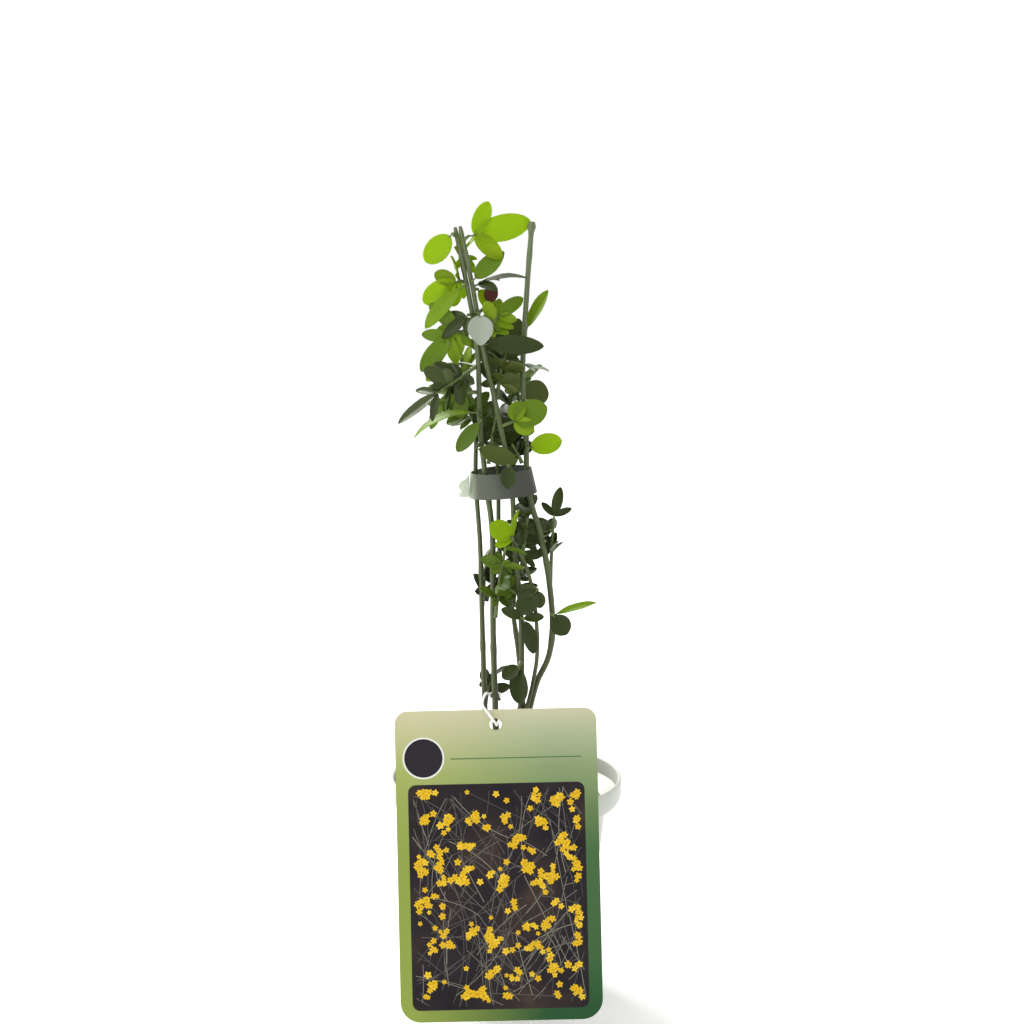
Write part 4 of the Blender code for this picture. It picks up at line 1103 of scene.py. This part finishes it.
def print_stroke(shape, start, end, width, lift):
    """Add a thin straight printed line."""
    dx, dz = end[0] - start[0], end[1] - start[1]
    size = math.hypot(dx, dz)
    nx, nz = -dz / size * width / 2, dx / size * width / 2
    print_patch(shape, [(start[0] + nx, start[1] + nz), (end[0] + nx, end[1] + nz),
                        (end[0] - nx, end[1] - nz), (start[0] - nx, start[1] - nz)], lift)


def print_piece(name, shape, finish):
    placed(name, mesh_from(shape, name, smooth=False))
    ride_in_place(name, finish)


def print_blossom(draw, petals, hearts, x, z):
    """One five-petalled blossom."""
    size = draw.uniform(0.75, 1.35) * MM
    petal = size * 0.62
    turn = draw.uniform(0, 1.2)
    for k in range(5):
        angle = turn + 2 * math.pi * k / 5
        print_disc(petals, (x + petal * math.cos(angle), z + petal * math.sin(angle)),
                   petal, 7, draw.uniform(0.09, 0.12) * MM, 0.66, angle)
    print_disc(hearts, (x, z), size * 0.22, 6, 0.13 * MM)


def print_picture(left, right, low, high):
    """Bushes of arching twigs that start low down and cross, with blossoms in clusters among them."""
    draw = random.Random(11)
    stems, twigs, petals, pale, hearts = (bmesh.new() for _ in range(5))

    def inside(x, z, edge=0.0):
        return left + edge < x < right - edge and low + edge < z < high - edge

    for branch in range(PRINTED_TWIGS):
        x, z = draw.uniform(left, right), blend(low, high, draw.uniform(0, 0.9) ** 1.3)
        way = math.radians(draw.gauss(90, 45))
        curve = draw.uniform(-0.7, 0.7)
        stride = draw.uniform(12, 40) * MM / PRINTED_STROKES
        width = draw.uniform(0.12, 0.3) * MM
        for k in range(PRINTED_STROKES):
            turned_way = way + curve * k / PRINTED_STROKES
            end = (x + math.cos(turned_way) * stride, z + math.sin(turned_way) * stride)
            if inside(x, z) and inside(*end):
                print_stroke(stems if branch % 3 else twigs, (x, z), end, width, 0.07 * MM)
            x, z = end
    for column in range(PRINTED_COLUMNS):
        for row in range(PRINTED_ROWS):
            count = draw.choice(CLUSTER_DRAW)
            x = blend(left, right, (column + draw.uniform(0.1, 0.9)) / PRINTED_COLUMNS)
            z = blend(low, high, (row + draw.uniform(0.1, 0.9)) / PRINTED_ROWS)
            lean = draw.uniform(0, math.pi)
            for _ in range(count):
                along, aside = draw.gauss(0, 2.3) * MM, draw.gauss(0, 0.95) * MM
                spot = (x + along * math.cos(lean) - aside * math.sin(lean),
                        z + along * math.sin(lean) + aside * math.cos(lean))
                if inside(*spot, 1.3 * MM):
                    print_blossom(draw, draw.choice((petals, petals, petals, pale)), hearts, *spot)
    print_piece("print_stems", stems, "print_stem")
    print_piece("print_twigs", twigs, "print_twig")
    print_piece("print_blossoms", petals, "blossom")
    print_piece("print_blossoms_pale", pale, "blossom_pale")
    print_piece("print_hearts", hearts, "blossom_heart")


class JASMINE_OT_pot(bpy.types.Operator):
    """Turn the smooth nursery pot"""
    bl_idname = "jasmine.pot"
    bl_label = "Build pot"

    def execute(self, context):
        ledge = POT_HEIGHT - COLLAR_HEIGHT
        lip = POT_WALL / 2
        turned([
            (pot_radius(POT_WALL) - POT_WALL, POT_WALL), (pot_radius(ledge) - POT_WALL, ledge),
            (COLLAR_RADIUS - POT_WALL, ledge + COLLAR_CORNER),
            *corner((COLLAR_RADIUS - lip, POT_HEIGHT - lip), lip, 180, 0),
            *corner((COLLAR_RADIUS - COLLAR_CORNER, ledge + COLLAR_CORNER), COLLAR_CORNER, 0, -90),
            (pot_radius(ledge), ledge), (POT_BASE_RADIUS + 0.3 * MM, 2 * MM), (POT_BASE_RADIUS - 1 * MM, 0)])
        finished("pot", "pot", 50)
        return {"FINISHED"}


class JASMINE_OT_compost(bpy.types.Operator):
    """Build the compost's mound, which is full at the stems, and scatter loose crumbs on it"""
    bl_idname = "jasmine.compost"
    bl_label = "Build compost"

    def execute(self, context):
        floor = POT_WALL + GAP
        shrink = POT_WALL + GAP * 1.6
        edge = pot_radius(COMPOST_EDGE) - shrink
        fall = COMPOST_TOP - COMPOST_EDGE
        mound = [(blend(MOUND_TOP, edge, share), COMPOST_TOP - fall * share ** 2)
                 for share in (0, 0.35, 0.7, 1)]
        turned([*mound, (pot_radius(floor) - shrink, floor)])
        finished("compost", "compost", 50)
        draw = random.Random(5)
        noise.seed_set(5)
        shape = bmesh.new()
        for _ in range(sizes().crumbs):
            angle = draw.uniform(0, 2 * math.pi)
            reach = (pot_radius(COMPOST_EDGE) - 4 * MM) * math.sqrt(draw.random())
            share = min(1, max(0, reach - MOUND_TOP) / (27 * MM))
            size = draw.uniform(sizes().crumb_least, sizes().crumb_most)
            place = Matrix.Translation((reach * math.cos(angle), reach * math.sin(angle),
                                        COMPOST_TOP - fall * share ** 2 + size * 0.2))
            stretch = Matrix.Diagonal((draw.uniform(0.7, 1.5), draw.uniform(0.7, 1.5),
                                       draw.uniform(0.5, 0.9), 1))
            spin = Matrix.Rotation(draw.uniform(0, 3), 4, "Z")
            bmesh.ops.create_icosphere(shape, subdivisions=1, radius=size, matrix=place @ spin @ stretch)
        mesh = mesh_from(shape, "crumbs")
        for point in mesh.vertices:
            point.co += Vector(noise.noise_vector(point.co * 900)) * 0.25 * MM
        placed("crumbs", mesh)
        ride_in_place("crumbs", "compost")
        return {"FINISHED"}


class JASMINE_OT_woody_foot(bpy.types.Operator):
    """Build the brown knobbly stub that four stems rise from"""
    bl_idname = "jasmine.woody_foot"
    bl_label = "Build woody foot"

    def execute(self, context):
        length = (FOOT_TOP - FOOT_BASE).length
        middle = FOOT_BASE + Vector((FOOT_TOP.x - FOOT_BASE.x, 0, 0)) * 0.35 + UP * length * 0.5
        points = spline([FOOT_BASE - UP * 2 * MM, FOOT_BASE + UP * 3 * MM, middle, FOOT_TOP - UP * 3 * MM,
                         FOOT_TOP + UP * 0.3 * MM], 1.2 * MM)
        radii = [FOOT_RADIUS * (1 - 0.12 * math.sin(40 * point.z / length)) for point in points]
        for k, point in enumerate(points):
            if point.z > COMPOST_TOP:
                radii[k] += FOOT_FLARE * math.exp(-(point.z - COMPOST_TOP) / (4 * MM))
        shape = bmesh.new()
        add_tube(shape, points, radii, FOOT_SIDES, 0.03, sizes().wood_grain)
        placed("woody_foot", mesh_from(shape, "woody_foot"))
        finished("woody_foot", "wood", 60)
        return {"FINISHED"}


class JASMINE_OT_stems(bpy.types.Operator):
    """Build the ribbed green stems, with swollen leaf joints and cut tops"""
    bl_idname = "jasmine.stems"
    bl_label = "Build stems"

    def execute(self, context):
        for name in STEM_NAMES:
            stem = Stem(name)
            foot, *way = stem.way
            sunk = 2.0 * MM if foot.z < FOOT_TOP.z - 10 * MM else 1.2 * MM
            points = spline([foot - UP * sunk, *way], FINE_STEM_STEP)
            reach = lengths_along(points)
            radii = [stem.radius(along / reach[-1] * stem.reach[-1]) for along in reach]
            if name == KNOBBED_STEM:
                radii = [radius * (1 + TOP_KNOB * math.exp(-((reach[-1] - along - MM) / KNOB_LENGTH) ** 2))
                         for radius, along in zip(radii, reach)]
            radii[-1] *= CUT_END
            shape = bmesh.new()
            add_tube(shape, points, radii, STEM_SIDES, sizes().stem_rib, sizes().stem_grain)
            placed(name, mesh_from(shape, name))
            finished(name, "stem", 50)
        return {"FINISHED"}


class JASMINE_OT_tie(bpy.types.Operator):
    """Build the band of tape, a slightly conical oval ring"""
    bl_idname = "jasmine.tie"
    bl_label = "Build band of tape"

    def execute(self, context):
        bpy.ops.object.select_all(action="DESELECT")
        bpy.ops.mesh.primitive_cone_add(vertices=TIE_SEGMENTS, radius1=TIE_BOTTOM_RADIUS, depth=TIE_HEIGHT,
                                        radius2=TIE_TOP_RADIUS, end_fill_type="NOTHING")
        made = bpy.context.object
        made.location, made.rotation_euler.y, made.scale.y = TIE_CENTRE, TIE_TILT, TIE_DEPTH_SHARE
        bpy.ops.object.transform_apply(location=True, rotation=True, scale=True)
        walled(TAPE_THICKNESS, -1)
        finished("tie", "tape", 60)
        return {"FINISHED"}


class JASMINE_OT_tape_tail(bpy.types.Operator):
    """Build the tape's loose end, a short flap with a waved edge that curls away from the band"""
    bl_idname = "jasmine.tape_tail"
    bl_label = "Build tape end"

    def execute(self, context):
        rows = []
        for k in range(TAIL_ROWS + 1):
            share = k / TAIL_ROWS
            swing = math.radians(blend(204, 174, share))
            row = []
            for level in (j / 4 for j in range(-4, 5)):
                curl = 0.5 * MM * share * math.sin(3 * level + 5 * share)
                radius = TIE_BOTTOM_RADIUS + GAP + 0.35 * MM + 2.5 * MM * share ** 1.5 + curl
                waved = 0.3 * MM * math.sin(6 * share + 2.5 * level) * abs(level)
                narrowing = 1 - 0.3 * share ** 2 - 0.35 * max(0, share - 0.8) / 0.2
                lift = TAIL_WIDTH / 2 * level * narrowing + waved - 0.6 * MM - 3.2 * MM * share
                row.append(TIE_CENTRE + Vector((radius * math.cos(swing),
                                                radius * TIE_DEPTH_SHARE * math.sin(swing), lift)))
            rows.append(row)
        shape = bmesh.new()
        add_loft(shape, rows, closed=False)
        placed("tape_tail", mesh_from(shape, "tape_tail"))
        walled(TAPE_THICKNESS * 0.7, 0)
        finished("tape_tail", "tape", 60)
        return {"FINISHED"}


class JASMINE_OT_label(bpy.types.Operator):
    """Build the card, with a plain roundel and line at its head and a picture of blossoming twigs"""
    bl_idname = "jasmine.label"
    bl_label = "Build hang label"

    def execute(self, context):
        card("label", LABEL_THICKNESS)
        card("card_back", BACK_THICKNESS, (LABEL_THICKNESS + BACK_THICKNESS) / 2)
        left, right = PICTURE_SHIFT - PICTURE_WIDTH / 2, PICTURE_SHIFT + PICTURE_WIDTH / 2
        low, high = PICTURE_LOW, PICTURE_LOW + PICTURE_HEIGHT
        turn = PICTURE_CORNER
        rim = []
        for k, (x, z) in enumerate(((right - turn, high - turn), (left + turn, high - turn),
                                    (left + turn, low + turn), (right - turn, low + turn))):
            rim += corner((x, z), turn, 90 * k, 90 * k + 90, 6)
        ground, line, disc, ring = (bmesh.new() for _ in range(4))
        print_patch(ground, rim, 0.05 * MM)
        print_stroke(line, (HEADER_LINE_START, HEADER_LINE), (HEADER_LINE_END, HEADER_LINE), 0.4 * MM,
                     0.05 * MM)
        centre = (ROUNDEL_MIDDLE, HEADER_LINE + 0.5 * MM)
        print_disc(ring, centre, sizes().roundel, 48, 0.04 * MM)
        print_disc(disc, centre, sizes().roundel - ROUNDEL_RING, 48, 0.06 * MM)
        print_piece("picture", ground, "picture")
        for name, shape in (("print_line", line), ("print_ring", ring), ("print_disc", disc)):
            print_piece(name, shape, name)
        inset = PICTURE_INSET
        print_picture(left + inset, right - inset, low + inset, high - inset)
        return {"FINISHED"}


class JASMINE_OT_strap(bpy.types.Operator):
    """Build the thin loop through the label's hole and round the left stem"""
    bl_idname = "jasmine.strap"
    bl_label = "Build strap"

    def execute(self, context):
        made = line_curve("label_strap", "3D", spline(strap_way(), 1.2 * MM, closed=True))
        made.data.bevel_depth = STRAP_RADIUS
        made.data.bevel_resolution = 3
        finished("label_strap", "strap", 60)
        return {"FINISHED"}


class JASMINE_OT_foliage(bpy.types.Operator):
    """Grow every shoot, then lay smooth leaves, petioles and twigs where its plain ones stand"""
    bl_idname = "jasmine.foliage"
    bl_label = "Grow foliage"

    def execute(self, context):
        stems = {name: Stem(name) for name in STEM_NAMES}
        # What the shoots keep clear of: foot, stems, band, tail, label and strap
        limbs = [tree_of(NODES["woody_foot"].data)]
        for stem in stems.values():
            radii = [1.04 * stem.radius(along) for along in stem.reach]
            limbs.append(tree_of(plain_shape(add_tube, stem.points, radii, 8)))
        limbs += [tree_of(NODES[name].data) for name in ("tie", "tape_tail", "label", "label_strap")]
        twigs, sprays = bmesh.new(), {}
        for shoot in SHOOTS:
            mass = Mass(shoot, stems[shoot.stem], limbs)
            mass.grow()
            limbs.append(tree_of(NODES[shoot.name].data))
            draw = random.Random(shoot.seed * 77 + len(shoot.name))
            route = spline([mass.points[0] - mass.ways[0] * 0.9 * MM, *mass.points], FINE_TWIG_STEP)
            add_tube(twigs, route, twig_radii(len(route)), TWIG_SIDES)
            for base, joint in mass.stalks:
                middle = (base + joint) / 2 - UP * 0.15 * MM
                add_tube(twigs, [base, middle, joint], PETIOLE_RADII, PETIOLE_SIDES)
            for k, blade in enumerate(mass.blades):
                tone = "dark" if k and shoot.name == DARK_SECOND_LEAF else shoot.tone
                key = f"leaf_{tone}_{draw.choice(SHADE_DRAW)}"
                if key not in sprays:
                    sprays[key] = bmesh.new()
                add_blade(sprays[key], *blade, draw, TIP_TAPERS.get(shoot.name, 0))
        if not sprays:
            raise RuntimeError("no shoot found room for a leaf")
        placed("twigs", mesh_from(twigs, "twigs"))
        ride_in_place("twigs", "twig", MASS_NAMES)
        for key, shape in sorted(sprays.items()):
            placed(key, mesh_from(shape, key, outward=False))
            walled(sizes().leaf_thickness, 0)
            tone = key.split("_")[1]
            finished(key, key, 60, [shoot.name for shoot in SHOOTS if shoot.tone == tone])
        return {"FINISHED"}


class JASMINE_OT_stage(bpy.types.Operator):
    """Set the pale floor, soft light from behind on the left, a weak fill from the front, and the camera"""
    bl_idname = "jasmine.stage"
    bl_label = "Build stage"

    def execute(self, context):
        bpy.ops.object.select_all(action="DESELECT")
        bpy.ops.mesh.primitive_plane_add(size=FLOOR_SIZE, location=(0, 0, -FLOOR_DROP))
        floor = context.object
        floor.name = "floor"
        floor.data.materials.append(finish_of("floor"))
        world = bpy.data.worlds.new("studio")
        context.scene.world = world
        world.use_nodes = True
        world.node_tree.nodes["Background"].inputs["Color"].default_value = (1, 1, 1, 1)
        world.node_tree.nodes["Background"].inputs["Strength"].default_value = WORLD_STRENGTH
        for name, place, target, size, power, colour in LAMPS:
            way = Vector(target) - Vector(place)
            bpy.ops.object.light_add(type="AREA", location=place,
                                     rotation=way.to_track_quat("-Z", "Y").to_euler())
            lamp = context.object
            lamp.name = name
            lamp.data.size, lamp.data.energy, lamp.data.color = size, power, colour
        back = Vector((0, -math.cos(CAMERA_RISE), math.sin(CAMERA_RISE)))
        bpy.ops.object.camera_add(location=CAMERA_AIM + back * CAMERA_DISTANCE,
                                  rotation=(math.pi / 2 - CAMERA_RISE, 0, 0))
        camera = context.object
        camera.name = "camera"
        camera.data.sensor_width = CAMERA_SENSOR
        camera.data.lens = CAMERA_SENSOR / 2 * CAMERA_DISTANCE / VIEW_HALF_WIDTH
        camera.data.clip_start = 0.01
        context.scene.camera = camera
        context.scene.view_settings.view_transform = "Standard"
        return {"FINISHED"}


OPERATORS = (JASMINE_OT_pot, JASMINE_OT_compost, JASMINE_OT_woody_foot, JASMINE_OT_stems, JASMINE_OT_tie,
             JASMINE_OT_tape_tail, JASMINE_OT_label, JASMINE_OT_strap, JASMINE_OT_foliage, JASMINE_OT_stage)


class JASMINE_PT_pieces(bpy.types.Panel):
    """Lists the plant's sizes, colours and pieces"""
    bl_label = "Winter jasmine"
    bl_idname = "JASMINE_PT_pieces"
    bl_space_type = "VIEW_3D"
    bl_region_type = "UI"
    bl_category = "Jasmine"

    def draw(self, context):
        for group in (context.scene.jasmine_sizes, context.scene.jasmine_colours):
            for name in group.__annotations__:
                self.layout.prop(group, name)
        for item in OPERATORS:
            self.layout.operator(item.bl_idname)


CLASSES = (JasmineSizes, JasmineColours, *OPERATORS, JASMINE_PT_pieces)


def register():
    for item in CLASSES:
        bpy.utils.register_class(item)
    bpy.types.Scene.jasmine_sizes = bpy.props.PointerProperty(type=JasmineSizes)
    bpy.types.Scene.jasmine_colours = bpy.props.PointerProperty(type=JasmineColours)


def unregister():
    del bpy.types.Scene.jasmine_colours
    del bpy.types.Scene.jasmine_sizes
    for item in reversed(CLASSES):
        bpy.utils.unregister_class(item)


def main():
    register()
    for item in OPERATORS:
        getattr(bpy.ops.jasmine, item.bl_idname.split(".")[1])()
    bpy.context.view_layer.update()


if __name__ == "__main__":
    main()
